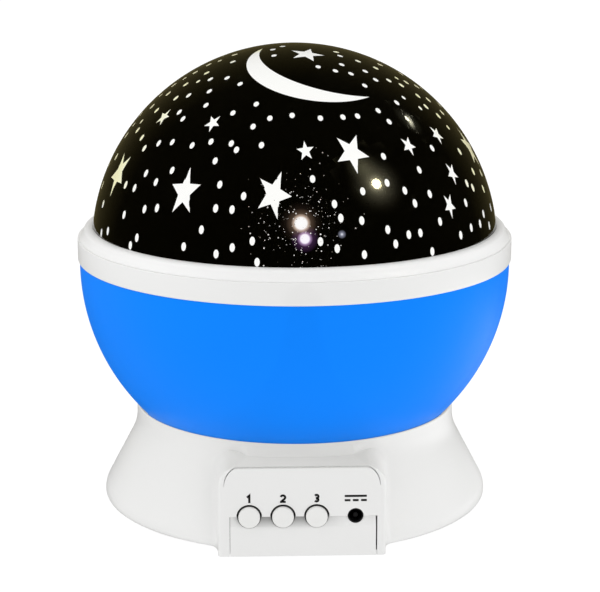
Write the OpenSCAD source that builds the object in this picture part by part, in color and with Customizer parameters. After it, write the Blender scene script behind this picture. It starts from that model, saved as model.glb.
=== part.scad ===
// Star night light projector: a printed dome over a coloured bowl that turns
// on a flared base. All lengths are in millimetres. The origin lies on the
// floor on the axis of the ball, +Z is up and the control box faces -Y.

/* [Ball] */
// Diameter over the white ring, the widest part of the ball
ball_d = 130; // [112:1:160]
// Height of the coloured bowl from the base's rim to the ring
bowl_h = 44.9; // [38:0.1:60]
// Wall of the coloured bowl
bowl_wall = 2.2; // [1.8:0.1:3]
// Step from the ring in to the coloured bowl
ring_step = 0.5; // [0.3:0.1:1.5]
// Height of the lower, fixed part of the ring
lower_ring_h = 6.6; // [5.5:0.1:12]
// Height of the upper part of the ring, which carries the dome
upper_ring_h = 3.3; // [2.4:0.1:6]
// Step from the ring's outer edge in to the dome
dome_inset = 4.15; // [3.8:0.05:8]
// Height of the ring's top edge over the centre of the dome
dome_sink = 7.1; // [4:0.1:12]
// Wall of the clear dome
dome_wall = 1.5; // [1:0.1:2.5]
// Thickness of the black film under the dome
film_t = 0.4; // [0.3:0.05:1]

/* [Star film] */
// Distance from a large star's centre to its side points
big_star_r = 5; // [4:0.1:7]
// Distance from a small star's centre to its side points
small_star_r = 2.5; // [2:0.1:4]
// Distance between the horns of the crescent moon
moon_span = 41.2; // [24:0.2:44]
// Width of a round window
dot_w = 1.5; // [1.2:0.1:2.4]
// Places on the spiral that the round windows follow
dot_places = 260; // [60:1:300]
// Height over width of the lowest figures, which forming the film draws out
draw_out = 1.5; // [1:0.05:1.8]

/* [Base] */
// Greatest diameter of the flared base
base_d = 116.4; // [114:0.2:150]
// Diameter of the base's waist, under the bowl
waist_d = 95.4; // [92:0.2:104]
// Height of the base from its lower edge to its top rim
base_h = 28.2; // [28:0.2:40]
// Depth of the dish in the base's top that the bowl turns in
dish_depth = 8.6; // [8:0.1:9]
// Wall of the base and of its covers
wall = 2; // [1.6:0.1:2.6]
// Height that the rubber feet stand proud
foot_h = 1; // [0.6:0.1:2]
// Diameter of a rubber foot
foot_d = 9; // [6:0.5:12]

/* [Control box] */
// Width of the control box
box_w = 47.5; // [44:0.5:60]
// Distance that the box's face stands out beyond the base's edge
box_proud = 1.8; // [1:0.1:8]
// Height of the box's top over the base's lower edge
box_h = 26.3; // [24:0.1:27]
// Radius of the box's upper corners
box_corner_r = 5.5; // [2:0.1:8]
// Rounding of the edges around the box's front face
box_edge_r = 1.2; // [0.6:0.1:2]
// Diameter of a push button
button_d = 6.1; // [5:0.1:8]
// Height that a button stands out of the face
button_proud = 1.1; // [0.6:0.1:2.5]
// Travel of a button
button_travel = 0.6; // [0.3:0.1:1]
// Distance from one button to the next
button_pitch = 9.5; // [8.5:0.1:11]
// Place of the middle button, left of the box's centre
button_mid_x = -5.4; // [-8:0.1:-4]
// Height of the buttons and the power inlet over the base's lower edge
button_z = 11.8; // [10:0.1:13]
// Place of the power inlet, right of the box's centre
jack_x = 15.05; // [13:0.05:16]
// Hole of the power inlet, for a plug of 3.5 mm
jack_bore_d = 3.6; // [3.2:0.1:4]

/* [Drive] */
// Tooth module of the gear pair
gear_module = 0.8; // [0.6:0.05:1]
// Teeth of the gear under the bowl
gear_teeth = 56; // [48:1:60]
// Teeth of the motor's pinion
pinion_teeth = 14; // [12:1:18]
// Play between the teeth, measured along the pitch circle
backlash = 0.16; // [0.05:0.01:0.3]
// Direction of the motor from the ball's axis
motor_angle = -60; // [-75:1:-40]
// Diameter of the motor's gearbox
gearbox_d = 24; // [16:0.5:26]
// Height of the gearbox
gearbox_h = 8; // [6:0.5:9]
// Diameter of the post that the ball turns on
post_d = 9; // [8:0.1:11]

/* [Power] */
// Diameter of a battery cell
cell_d = 10.5; // [10:0.1:11]
// Length of a battery cell
cell_l = 44.5; // [44:0.1:45]

/* [Fits] */
// Gap between the turning ball and the base
run_gap = 0.5; // [0.4:0.05:1]
// Gap around a piece that is put in by hand
slide_gap = 0.2; // [0.1:0.05:0.4]
// Radial play of a shaft in its bearing
bearing_gap = 0.05; // [0.02:0.01:0.1]

/* [Hidden] */
$fn = 96;
tiny = 0.01;

// Heights, from the floor up
edge_z = foot_h;
cover_top_z = edge_z + wall;
rim_z = edge_z + base_h;
deck_z = rim_z - dish_depth;
deck_under_z = deck_z - wall;
bowl_edge_z = rim_z + run_gap;
ring_z = bowl_edge_z + bowl_h;
split_z = ring_z + lower_ring_h;
ring_top_z = split_z + upper_ring_h;
dome_z = ring_top_z - dome_sink;

// Radii of the ball
ring_r = ball_d / 2;
bowl_r = ring_r - ring_step;
dome_r = ring_r - dome_inset;
dome_in_r = dome_r - dome_wall;
film_r = dome_in_r - slide_gap;
bowl_in_r = bowl_r - bowl_wall;

// Base profile: two arcs joined by their common tangent
base_r = base_d / 2;
waist_r = waist_d / 2;
edge_r = 1.5;
flare_low_r = 6;
flare_neck_r = 16;
rim_edge_r = 0.8;
flare_z = edge_z + edge_r;
waist_z = rim_z - 2;
flare_sum = flare_low_r + flare_neck_r;
flare_dr = base_r - waist_r;
flare_dz = waist_z - flare_z;
flare_a = atan2(flare_dz, flare_sum - flare_dr)
    - acos(flare_sum / norm([flare_sum - flare_dr, flare_dz]));
dish_r = waist_r - 1.7;

// Bowl: one arc from the neck to the ring
neck_r = waist_r - 1;
bowl_straight = 1.6;
bowl_arc_z = ring_z - bowl_straight;
bowl_dr = bowl_r - neck_r;
bowl_dz = bowl_arc_z - bowl_edge_z;
bowl_arc_r = (bowl_dr * bowl_dr + bowl_dz * bowl_dz) / (2 * bowl_dr);
bowl_arc_x = bowl_r - bowl_arc_r;
spigot_r = dish_r - 1;
spigot_in_r = spigot_r - wall;
floor_z = deck_z + 4.2;
floor_top_z = floor_z + wall;
lap = 1.2;
lap_h = 4.6;
shelf_z = ring_z - 2.6;
shelf_w = 2.2;
shelf_t = 1.2;

// Ring: the lip of the lower part takes the skirt of the upper part
lip_t = 1.8;
lip_r = dome_r - 0.55;
skirt_r = lip_r - slide_gap;
skirt_t = 2;
skirt_depth = 5.6;
key_w = 3;
key_reach = 1;
dome_seat_z = ring_top_z - 1.9;

// Post, gear and lamp head
post_r = post_d / 2;
post_bore_r = post_r - 1.5;
post_flange_r = 12.5;
post_flange_t = 1.6;
washer_t = 0.6;
washer_r = 7.4;
hub_r = post_r + 2.5;
hub_z = deck_z + post_flange_t + washer_t;
hub_top_z = floor_top_z + 5.2;
clip_t = 0.9;
clip_gap = 0.15;
groove_depth = 0.5;
gear_z = deck_z + 1;
gear_recess_r = post_flange_r + 0.7;
gear_web_t = 1.4;
head_r = 12.8;
head_h = 11;
head_top_z = dome_z - 0.4;
head_z = head_top_z - head_h;
head_floor_t = 2;
board_t = 1.6;
led_r = 2.5;
led_flange_r = 2.9;
led_circle_r = 4.6;
led_h = 8.6;

// Gear pair, centre distance and mesh
pressure_a = 20;
addendum = 0.85;
dedendum = 1.15;
gear_pitch_r = gear_module * gear_teeth / 2;
pinion_pitch_r = gear_module * pinion_teeth / 2;
motor_r = gear_pitch_r + pinion_pitch_r;
motor_x = motor_r * cos(motor_angle);
motor_y = motor_r * sin(motor_angle);
pinion_z = gear_z + 0.1;
pinion_h = 2.5;
shaft_r = 1.5;
shaft_seat = 4;
motor_can_r = gearbox_d / 2 - 4;
motor_can_h = 5.2;
ear_reach = gearbox_d / 2 + 3.5;
ear_t = 2;
ear_r = 3.2;

// Screws: shank and head of the two sizes used
screw_r = 1.1;
head_screw_r = 2.2;
head_screw_h = 1.3;
screw_play = 0.15;
cover_screw_circle_r = 43;
cover_screw_angles = [30, 150, 210, 330];
boss_r = 3.2;
post_screw_circle_r = 10;
post_screw_angles = [90, 210, 330];
post_boss_h = 2.2;
gear_screw_circle_r = 17;
gear_screw_angles = [30, 150, 270];
foot_circle_r = base_r - 8.2;
foot_angles = [45, 135, 225, 315];
foot_seat = 1;

// Battery bay, open below, closed by the door
cells = 4;
cell_pitch = cell_d + 0.5;
bay_wall = 1.5;
spring_l = 5;
contact_t = 0.5;
bay_l = cell_l + spring_l + 2 * contact_t + 0.6;
bay_w = cells * cell_pitch;
bay_y = -8;
door_t = 1.5;
bay_roof_z = edge_z + door_t + 0.3 + cell_d + 0.5;
bay_roof_t = 1.2;
cell_z = edge_z + door_t + 0.3 + cell_d / 2;
door_lap = 2;
tab_x = 15;
tab_w = 6;
tab_t = 1;
tab_reach = 2;
latch_w = 12;

// Control box and what stands behind its face
box_reach = base_r + box_proud;
box_r = box_w / 2;
box_top_z = edge_z + box_h;
face_y = -box_reach;
face_in_y = face_y + wall;
line_z = edge_z + button_z;
tongue_left = -box_r + 3.35;
tongue_right = box_r - 2.56;
slot_left = 0.12;
slot_right = 0.38;
tongue_w = tongue_right - tongue_left - slot_left - slot_right;
bevel_h = 3;
bevel_t = 0.9;
line_gap = 0.2;
tongue_foot_h = 1.6;
button_r = button_d / 2;
button_play = 0.35;
button_x = [button_mid_x - button_pitch, button_mid_x, button_mid_x + button_pitch];
collar_r = button_r + 0.8;
collar_t = 0.8;
stem_r = 1.5;
board_y = face_y + 9.1;
board_w = 41.4;
board_top_z = min(box_top_z - wall - 1, max(box_top_z - 6, deck_under_z - slide_gap));
switch_w = 6;
switch_t = 3.4;
plunger_r = 1.7;
plunger_l = 2.6;
plunger_seat = 1.6;
rail_w = 1.1;
jack_r = jack_bore_d / 2;
jack_nose_r = jack_r + 0.35;
jack_hole_r = jack_nose_r + 0.12;
jack_w = 7;
jack_h = 6.4;
jack_pin_r = 0.65;
lead_r = 0.9;
lead_meet_x = 17.9;
lead_turn = -atan2(lead_meet_x, -board_y - board_t);
lead_off = 6;

// Points of an arc, from angle a0 to a1 in n steps
function arc(c, r, a0, a1, n) =
    [for (i = [0 : n]) let (a = a0 + (a1 - a0) * i / n) c + r * [cos(a), sin(a)]];

// The base's outer curve, from its lower edge to its waist, moved in by t
function flare(t, n) = concat(
    arc([base_r - flare_low_r, flare_z], flare_low_r - t, 0, flare_a, n),
    arc([waist_r + flare_neck_r, waist_z], flare_neck_r + t, 180 + flare_a, 180, n)
);

// Angle on the bowl's arc of radius r at height z
function bowl_angle(r, z) = -asin((bowl_arc_z - z) / r);

// Places on a circle
module around(circle_r, angles) {
    for (a = angles) rotate(a) translate([circle_r, 0, 0]) children();
}

// A screw with a pan head: its head stands on z = 0 and its shank goes down
module screw(length) {
    cylinder(r = head_screw_r, h = head_screw_h);
    translate([0, 0, -length]) cylinder(r = screw_r, h = length + tiny);
}

// A lead of radius lead_r that runs up, then bends to run along -Y
module bent_lead(top_z, run_z, run_l, bend_r) {
    translate([0, 0, run_z + bend_r]) cylinder(r = lead_r, h = top_z - run_z - bend_r);
    translate([0, -bend_r, run_z + bend_r]) rotate([0, 90, 0])
        rotate_extrude(angle = 90) translate([bend_r, 0]) circle(lead_r);
    translate([0, -bend_r, run_z]) rotate([90, 0, 0]) cylinder(r = lead_r, h = run_l - bend_r);
}

/* ---------------------------------------------------------------- base --- */

// Front outline of the control box: square below, round at the upper corners
module box_face(inset, low_z) {
    r = box_corner_r - inset;
    top = box_top_z - inset;
    half = box_r - inset;
    polygon(concat(
        [[-half, low_z], [half, low_z]],
        arc([half - r, top - r], r, 0, 90, 12),
        arc([r - half, top - r], r, 90, 180, 12)
    ));
}

// The box's outline along Y, with a rounded edge at the top of its face
module box_side(inset) {
    r = max(box_edge_r - inset, 0.1);
    front = face_y + inset;
    top = box_top_z - inset;
    polygon(concat(
        [[-waist_r + 3, edge_z], [front, edge_z]],
        arc([front + r, top - r], r, 180, 90, 6),
        [[-waist_r + 3, top]]
    ));
}

// The box's outline from above, with rounded edges beside its face
module box_plan(inset) {
    r = max(box_edge_r - inset, 0.1);
    front = face_y + inset;
    half = box_r - inset;
    polygon(concat(
        [[half, -waist_r + 3], [-half, -waist_r + 3]],
        arc([r - half, front + r], r, 180, 270, 6),
        arc([half - r, front + r], r, 270, 360, 6)
    ));
}

module box_block(inset, low_z) {
    intersection() {
        rotate([90, 0, 0]) linear_extrude(box_reach + 5) box_face(inset, low_z);
        translate([-box_r - 1, 0, 0]) rotate([90, 0, 90]) linear_extrude(box_w + 2) box_side(inset);
        linear_extrude(box_top_z + 1) box_plan(inset);
    }
}

// Round holes in the box's face for the buttons and the power inlet
module face_holes() {
    for (x = button_x)
        translate([x, face_in_y + 1, line_z]) rotate([90, 0, 0])
            cylinder(r = button_r + button_play, h = wall + 2);
    translate([jack_x, face_in_y + 1, line_z]) rotate([90, 0, 0])
        cylinder(r = jack_hole_r, h = wall + 2);
}

// Outline of the solid of revolution that the base is cut from
module base_section() {
    polygon(concat(
        [[0, edge_z]],
        arc([base_r - edge_r, flare_z], edge_r, -90, 0, 5),
        flare(0, 12),
        arc([waist_r - rim_edge_r, rim_z - rim_edge_r], rim_edge_r, 0, 90, 4),
        [[0, rim_z]]
    ));
}

module base_hollow_section() {
    intersection() {
        polygon(concat([[0, edge_z - 1], [base_r - wall, edge_z - 1]], flare(wall, 12), [[0, rim_z]]));
        translate([0, edge_z - 1]) square([base_r, deck_under_z - edge_z + 1]);
    }
}

module base_shell() {
    color("white") difference() {
        union() {
            difference() {
                union() {
                    rotate_extrude() base_section();
                    box_block(0, edge_z);
                }
                rotate_extrude() base_hollow_section();
                // The box is hollow and opens into the base below the deck
                difference() {
                    box_block(wall, edge_z - 1);
                    translate([0, 0, deck_under_z]) cylinder(r = waist_r, h = dish_depth + wall);
                }
                translate([-box_r + wall, face_in_y, edge_z - 1])
                    cube([box_w - 2 * wall, box_reach / 2, deck_under_z - edge_z + 1]);
            }
            // Bosses for the cover's screws, hung from the deck
            around(cover_screw_circle_r, cover_screw_angles)
                translate([0, 0, cover_top_z]) cylinder(r = boss_r, h = deck_under_z - cover_top_z + tiny);
            around(post_screw_circle_r, post_screw_angles)
                translate([0, 0, deck_under_z - post_boss_h])
                    cylinder(r = boss_r - 0.7, h = post_boss_h + tiny);
            // Rails that hold the control board upright
            for (side = [-1, 1]) for (y = [board_y - rail_w - slide_gap, board_y + board_t + slide_gap])
                translate([side > 0 ? board_w / 2 - 1.5 : -box_r + wall - tiny, y, cover_top_z + 1])
                    cube([box_r - wall - board_w / 2 + 1.5 + tiny, rail_w, deck_under_z - cover_top_z - 2]);
        }
        // Dish that the bowl turns in
        translate([0, 0, deck_z]) cylinder(r = dish_r, h = dish_depth + 1);
        // Opening in the face that the bottom cover's tongue closes
        translate([tongue_left, face_y - 1, edge_z - 1])
            cube([tongue_right - tongue_left, wall + 2, line_z - edge_z + 1]);
        face_holes();
        around(cover_screw_circle_r, cover_screw_angles)
            translate([0, 0, cover_top_z - 1]) cylinder(r = screw_r, h = 10);
        around(post_screw_circle_r, post_screw_angles)
            translate([0, 0, deck_under_z - post_boss_h - 1])
                cylinder(r = screw_r, h = wall + post_boss_h + 2);
        // Holes in the deck for the lead, the pinion and the motor's screws
        translate([0, 0, deck_under_z - 1]) cylinder(r = post_bore_r, h = wall + 2);
        translate([motor_x, motor_y, deck_under_z - 1]) {
            cylinder(r = shaft_r + 1.2, h = wall + 2);
            rotate(motor_angle) for (side = [-1, 1])
                translate([0, side * ear_reach, 0]) cylinder(r = screw_r + screw_play, h = wall + 2);
        }
    }
}

// Outline of the bottom cover from above
module cover_outline() {
    difference() {
        union() {
            circle(r = base_r - wall - slide_gap);
            // Floor of the control box
            translate([slide_gap + wall - box_r, face_in_y + slide_gap])
                square([box_w - 2 * wall - 2 * slide_gap, box_reach - 30]);
            translate([tongue_left + slot_left, face_y]) square([tongue_w, box_reach - 30]);
        }
        translate([-bay_l / 2 - door_lap, bay_y - door_lap])
            square([bay_l + 2 * door_lap, bay_w + 2 * door_lap]);
    }
}

module bottom_cover() {
    color("white") difference() {
        union() {
            translate([0, 0, edge_z]) linear_extrude(wall) cover_outline();
            // Tongue that closes the lower half of the control box's face, on a wider foot
            translate([tongue_left + slot_left, 0, 0]) rotate([90, 0, 90])
                linear_extrude(tongue_w) polygon([
                    [face_in_y, edge_z], [face_y, edge_z], [face_y, line_z - bevel_h],
                    [face_y + bevel_t, line_z - line_gap], [face_in_y, line_z - line_gap]
                ]);
            translate([tongue_left + slide_gap / 2, face_y, edge_z])
                cube([tongue_right - tongue_left - slide_gap, wall, tongue_foot_h]);
            // Battery bay: four walls and a roof over the door opening
            translate([-bay_l / 2 - bay_wall, bay_y - bay_wall, cover_top_z - tiny])
                cube([bay_l + 2 * bay_wall, bay_w + 2 * bay_wall, bay_roof_z + bay_roof_t - cover_top_z]);
            translate([-bay_l / 2 - door_lap - 1, bay_y - door_lap - 1, edge_z + door_t + slide_gap])
                cube([bay_l + 2 * door_lap + 2, bay_w + 2 * door_lap + 2, cover_top_z - edge_z - door_t]);
        }
        // Room for the cells
        translate([-bay_l / 2, bay_y, edge_z]) cube([bay_l, bay_w, bay_roof_z - edge_z]);
        face_holes();
        // Slots that the door's tabs hook into
        for (side = [-1, 1])
            translate([side * tab_x - tab_w / 2 - 0.3, bay_y + bay_w - 1, edge_z + door_t - 0.1])
                cube([tab_w + 0.6, door_lap + tab_reach + 2, 4]);
        // Notch for the door's latch
        translate([-latch_w / 2 - 0.3, bay_y - door_lap - 1.2, edge_z - 1]) cube([latch_w + 0.6, 4, 4.6]);
        around(cover_screw_circle_r, cover_screw_angles) {
            translate([0, 0, edge_z - 1]) cylinder(r = screw_r + screw_play, h = wall + 2);
            translate([0, 0, edge_z - 1]) cylinder(r = head_screw_r + screw_play, h = 1 + wall / 2);
        }
        around(foot_circle_r, foot_angles)
            translate([0, 0, edge_z - 1]) cylinder(d = foot_d, h = 1 + foot_seat);
    }
    // Ribs between the cells, under the bay's roof
    color("white") for (i = [1 : cells - 1])
        translate([-cell_l / 4, bay_y + i * cell_pitch - 0.6, bay_roof_z - 2])
            cube([cell_l / 2, 1.2, 2 + tiny]);
}

module rubber_feet() {
    color("dimgray") around(foot_circle_r, foot_angles) {
        cylinder(d = foot_d - 1, h = 0.4);
        translate([0, 0, 0.4 - tiny]) cylinder(d = foot_d, h = foot_h + foot_seat - 0.4 + tiny);
    }
}

module cover_screws() {
    color("silver") around(cover_screw_circle_r, cover_screw_angles)
        translate([0, 0, edge_z + wall / 2]) mirror([0, 0, 1]) {
            cylinder(r = head_screw_r, h = wall / 2 - 0.1);
            translate([0, 0, -8]) cylinder(r = screw_r, h = 8 + tiny);
        }
}

module battery_door() {
    x = bay_l / 2 + door_lap - slide_gap;
    y0 = bay_y - door_lap + slide_gap;
    y1 = bay_y + bay_w + door_lap - slide_gap;
    color("white") {
        difference() {
            translate([-x, y0, edge_z]) cube([2 * x, y1 - y0, door_t]);
            // Finger grooves
            for (i = [0 : 3]) translate([-8, y0 + 6 + 2 * i, edge_z - 0.6]) cube([16, 0.9, 1]);
            // Slits that free the latch finger
            for (side = [-1, 1])
                translate([side * (latch_w / 2 - 0.5) - 0.4, y0 - 1, edge_z - 1])
                    cube([0.8, 5, door_t + 2]);
        }
        // Tabs over the cover's edge
        for (side = [-1, 1]) translate([side * tab_x - tab_w / 2, y1 - 1.4, edge_z + door_t - tiny]) {
            cube([tab_w, 1.4, tab_t + 0.6]);
            translate([0, 0, 0.6]) cube([tab_w, 1.4 + tab_reach, tab_t]);
        }
        // Latch nose
        translate([-latch_w / 2 + 1.2, y0 - 0.7, edge_z + 0.3])
            cube([latch_w - 2.4, 0.7 + tiny, door_t - 0.5]);
    }
}

module battery_cells() {
    for (i = [0 : cells - 1]) {
        way = i % 2 == 0 ? 1 : -1;
        translate([0, bay_y + (i + 0.5) * cell_pitch, cell_z]) rotate([0, way * 90, 0]) {
            start = -cell_l / 2 - (spring_l - contact_t) / 2 + 2;
            color("dimgray") translate([0, 0, start]) cylinder(d = cell_d, h = cell_l - 1.1);
            color("silver") translate([0, 0, start + cell_l - 1.1 - tiny]) cylinder(d = 3.8, h = 1.1);
        }
    }
}

// Where a cell's ends lie along X, from its own start
cell_start = -cell_l / 2 - (spring_l - contact_t) / 2 + 2;
cell_end = cell_start + cell_l;

module battery_springs() {
    color("silver") for (i = [0 : cells - 1]) {
        way = i % 2 == 0 ? 1 : -1;
        gap = cell_start + bay_l / 2 - contact_t;
        translate([0, bay_y + (i + 0.5) * cell_pitch, cell_z]) rotate([0, way * 90, 0])
            translate([0, 0, -bay_l / 2 + contact_t]) rotate_extrude() polygon([
                [2.8, 0], [3.6, 0], [2.6, gap], [1.8, gap]
            ]);
    }
}

module battery_contacts() {
    color("silver") for (side = [-1, 1]) for (i = [0 : cells - 1])
        translate([side > 0 ? bay_l / 2 - contact_t : -bay_l / 2,
                   bay_y + (i + 0.5) * cell_pitch - 4, edge_z + door_t + 0.6])
            cube([contact_t, 8, cell_d - 1]);
    // A raised pip meets each cell's small end
    color("silver") for (i = [0 : cells - 1]) {
        way = i % 2 == 0 ? 1 : -1;
        translate([0, bay_y + (i + 0.5) * cell_pitch, cell_z]) rotate([0, way * 90, 0])
            translate([0, 0, cell_end]) cylinder(r = 2.4, h = bay_l / 2 - contact_t - cell_end + tiny);
    }
}

module control_board() {
    color("darkgreen") difference() {
        translate([-board_w / 2, board_y, cover_top_z]) cube([board_w, board_t, board_top_z - cover_top_z]);
        // Solder hole where the leads meet the board
        translate([0, board_y - 1, board_top_z - 3]) rotate([-90, 0, 0]) cylinder(r = 0.6, h = board_t + 2);
    }
}

module switch_bodies() {
    color("black") for (x = button_x) difference() {
        translate([x - switch_w / 2, board_y - switch_t, line_z - switch_w / 2])
            cube([switch_w, switch_t, switch_w]);
        translate([x, board_y - switch_t - 1, line_z]) rotate([-90, 0, 0])
            cylinder(r = plunger_r + bearing_gap, h = 1 + plunger_seat + button_travel + 0.1);
    }
}

module plunger(i) {
    y0 = board_y - switch_t + plunger_seat - plunger_l;
    color("black") translate([button_x[i], y0, line_z]) rotate([-90, 0, 0])
        cylinder(r = plunger_r, h = plunger_l);
}

module plunger_1() { plunger(0); }
module plunger_2() { plunger(1); }
module plunger_3() { plunger(2); }

// A cap with a softened edge, a collar behind the wall and a stem
module button(i) {
    y0 = face_y - button_proud;
    collar_y = face_in_y + 0.1;
    stem_y = board_y - switch_t + plunger_seat - plunger_l;
    soft = 0.6;
    color("whitesmoke") translate([button_x[i], y0, line_z]) rotate([-90, 0, 0])
        rotate_extrude() polygon(concat(
            [[0, 0]],
            arc([button_r - soft, soft], soft, -90, 0, 5),
            [
                [button_r, collar_y - y0], [collar_r, collar_y - y0],
                [collar_r, collar_y - y0 + collar_t], [stem_r, collar_y - y0 + collar_t],
                [stem_r, stem_y - y0], [0, stem_y - y0]
            ]
        ));
}

module button_1() { button(0); }
module button_2() { button(1); }
module button_3() { button(2); }

module dc_jack() {
    color("black") {
        difference() {
            union() {
                translate([jack_x - jack_w / 2, face_in_y + 0.1, line_z - jack_h / 2])
                    cube([jack_w, board_y - face_in_y - 0.1, jack_h]);
                translate([jack_x, face_in_y + 0.2, line_z]) rotate([90, 0, 0])
                    cylinder(r = jack_nose_r, h = wall - 0.2);
            }
            translate([jack_x, face_y - 1, line_z]) rotate([-90, 0, 0])
                cylinder(r = jack_r, h = board_y - face_y + 0.2);
        }
        translate([jack_x, face_y + 1, line_z]) rotate([-90, 0, 0])
            cylinder(r = jack_pin_r, h = board_y - face_y - 1);
    }
}

/* --------------------------------------------------------------- drive --- */

// Half the angle of a tooth at radius r
function involute(r, base) = let (a = acos(min(base / r, 1))) tan(a) * 180 / PI - a;
function half_tooth(r, pitch_r, teeth) = let (base = pitch_r * cos(pressure_a))
    90 / teeth - backlash / pitch_r * 90 / PI / 2
    + involute(pitch_r, base) - involute(max(r, base), base);

// Outline of a spur gear: each flank is three chords of an involute
function gear_outline(teeth) = let (
    pitch_r = gear_module * teeth / 2,
    base = pitch_r * cos(pressure_a),
    tip = pitch_r + addendum * gear_module,
    root = pitch_r - dedendum * gear_module,
    low = max(base, root),
    steps = [root, low + 0.01, low + (tip - low) * 0.45, tip]
) [for (k = [0 : teeth - 1]) for (j = [0 : 7]) let (
    r = j < 4 ? steps[j] : steps[7 - j],
    h = half_tooth(r, pitch_r, teeth),
    a = k * 360 / teeth + (j < 4 ? -h : h)
) r * [cos(a), sin(a)]];

module gearmotor() {
    color("gainsboro") translate([motor_x, motor_y, 0]) difference() {
        union() {
            translate([0, 0, deck_under_z - gearbox_h]) cylinder(d = gearbox_d, h = gearbox_h);
            translate([0, 0, deck_under_z - gearbox_h - motor_can_h])
                cylinder(r = motor_can_r, h = motor_can_h + tiny);
            rotate(motor_angle) translate([-ear_r, -ear_reach, deck_under_z - ear_t])
                cube([2 * ear_r, 2 * ear_reach, ear_t]);
            rotate(motor_angle) for (side = [-1, 1])
                translate([0, side * ear_reach, deck_under_z - ear_t]) cylinder(r = ear_r, h = ear_t);
        }
        translate([0, 0, deck_under_z - shaft_seat])
            cylinder(r = shaft_r + bearing_gap, h = shaft_seat + 1);
        rotate(motor_angle) for (side = [-1, 1])
            translate([0, side * ear_reach, deck_under_z - ear_t - 1]) cylinder(r = screw_r, h = ear_t + 2);
    }
}

module motor_shaft() {
    color("silver") translate([motor_x, motor_y, deck_under_z - shaft_seat + 0.1])
        cylinder(r = shaft_r, h = pinion_z + pinion_h - deck_under_z + shaft_seat - 0.1);
}

module drive_pinion() {
    color("ivory") translate([motor_x, motor_y, pinion_z]) difference() {
        rotate(motor_angle + 180) linear_extrude(pinion_h) polygon(gear_outline(pinion_teeth));
        translate([0, 0, -1]) cylinder(r = shaft_r, h = pinion_h + 2);
    }
}

module motor_screws() {
    color("silver") translate([motor_x, motor_y, deck_z]) rotate(motor_angle) for (side = [-1, 1])
        translate([0, side * ear_reach, 0]) screw(wall + ear_t);
}

module lamp_post() {
    color("whitesmoke") difference() {
        union() {
            translate([0, 0, deck_z]) cylinder(r = post_flange_r, h = post_flange_t);
            translate([0, 0, deck_z]) cylinder(r = post_r, h = head_z + head_floor_t - deck_z);
        }
        translate([0, 0, deck_z - 1]) cylinder(r = post_bore_r, h = head_z - deck_z + 10);
        // Groove for the retaining ring
        translate([0, 0, hub_top_z + clip_gap]) difference() {
            cylinder(r = post_r + 1, h = clip_t + 0.1);
            translate([0, 0, -1]) cylinder(r = post_r - groove_depth, h = clip_t + 3);
        }
        around(post_screw_circle_r, post_screw_angles) {
            translate([0, 0, deck_z - 1]) cylinder(r = screw_r + screw_play, h = post_flange_t + 2);
            translate([0, 0, deck_z + post_flange_t - 1]) cylinder(r = head_screw_r + screw_play, h = 2);
        }
    }
}

module post_screws() {
    color("silver") around(post_screw_circle_r, post_screw_angles)
        translate([0, 0, deck_z + post_flange_t - 1]) {
            cylinder(r = head_screw_r, h = 0.9);
            translate([0, 0, -4.2]) cylinder(r = screw_r, h = 4.2 + tiny);
        }
}

module ring(outer_r, inner_r, h) {
    difference() {
        cylinder(r = outer_r, h = h);
        translate([0, 0, -1]) cylinder(r = inner_r, h = h + 2);
    }
}

module thrust_washer() {
    color("black") translate([0, 0, hub_z - washer_t]) ring(washer_r, post_r + 0.1, washer_t);
}

module retaining_ring() {
    color("silver") translate([0, 0, hub_top_z + clip_gap + 0.05]) difference() {
        ring(post_r + 2, post_r - groove_depth + bearing_gap, clip_t);
        translate([-1.6, 0, -1]) cube([3.2, post_r + 3, clip_t + 2]);
    }
}

module lamp_head() {
    color("white") rotate_extrude() polygon([
        [post_r + bearing_gap, head_z], [post_r + 3, head_z], [head_r, head_z + 6],
        [head_r, head_top_z], [head_r - 0.8, head_top_z], [head_r - 0.8, head_top_z - board_t],
        [head_r - 2, head_top_z - board_t], [head_r - 2, head_z + 7],
        [post_r + 2, head_z + head_floor_t], [post_bore_r, head_z + head_floor_t + 0.6],
        [post_bore_r, head_z + head_floor_t], [post_r + bearing_gap, head_z + head_floor_t]
    ]);
}

module led_board() {
    color("whitesmoke") translate([0, 0, head_top_z - board_t]) cylinder(r = head_r - 0.9, h = board_t);
}

// Four through-hole lamps: a flange, a barrel and a round lens
module leds() {
    color("lightyellow") for (i = [0 : 3]) rotate(45 + 90 * i) translate([led_circle_r, 0, head_top_z]) {
        cylinder(r = led_flange_r, h = 1);
        cylinder(r = led_r, h = led_h - led_r);
        translate([0, 0, led_h - led_r]) sphere(r = led_r);
    }
}

module lamp_lead() {
    run_l = (-board_y - board_t) / cos(lead_turn) - 0.5;
    color("red") rotate(lead_turn)
        bent_lead(head_top_z - board_t, deck_under_z - lead_r - 0.2, run_l, 3);
}

module motor_lead() {
    near = lead_off - lead_r;
    start_y = motor_y - sqrt(motor_can_r * motor_can_r - near * near) - 0.1;
    color("orange") translate([motor_x - lead_off, start_y, deck_under_z - gearbox_h - 1.5])
        rotate([90, 0, 0]) cylinder(r = lead_r, h = start_y - board_y - board_t);
}

module battery_lead() {
    start_y = bay_y - bay_wall;
    color("orange") translate([-14, start_y, cover_top_z + 6]) rotate([90, 0, 0])
        cylinder(r = lead_r, h = start_y - board_y - board_t);
}

/* ---------------------------------------------------------------- ball --- */

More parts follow.
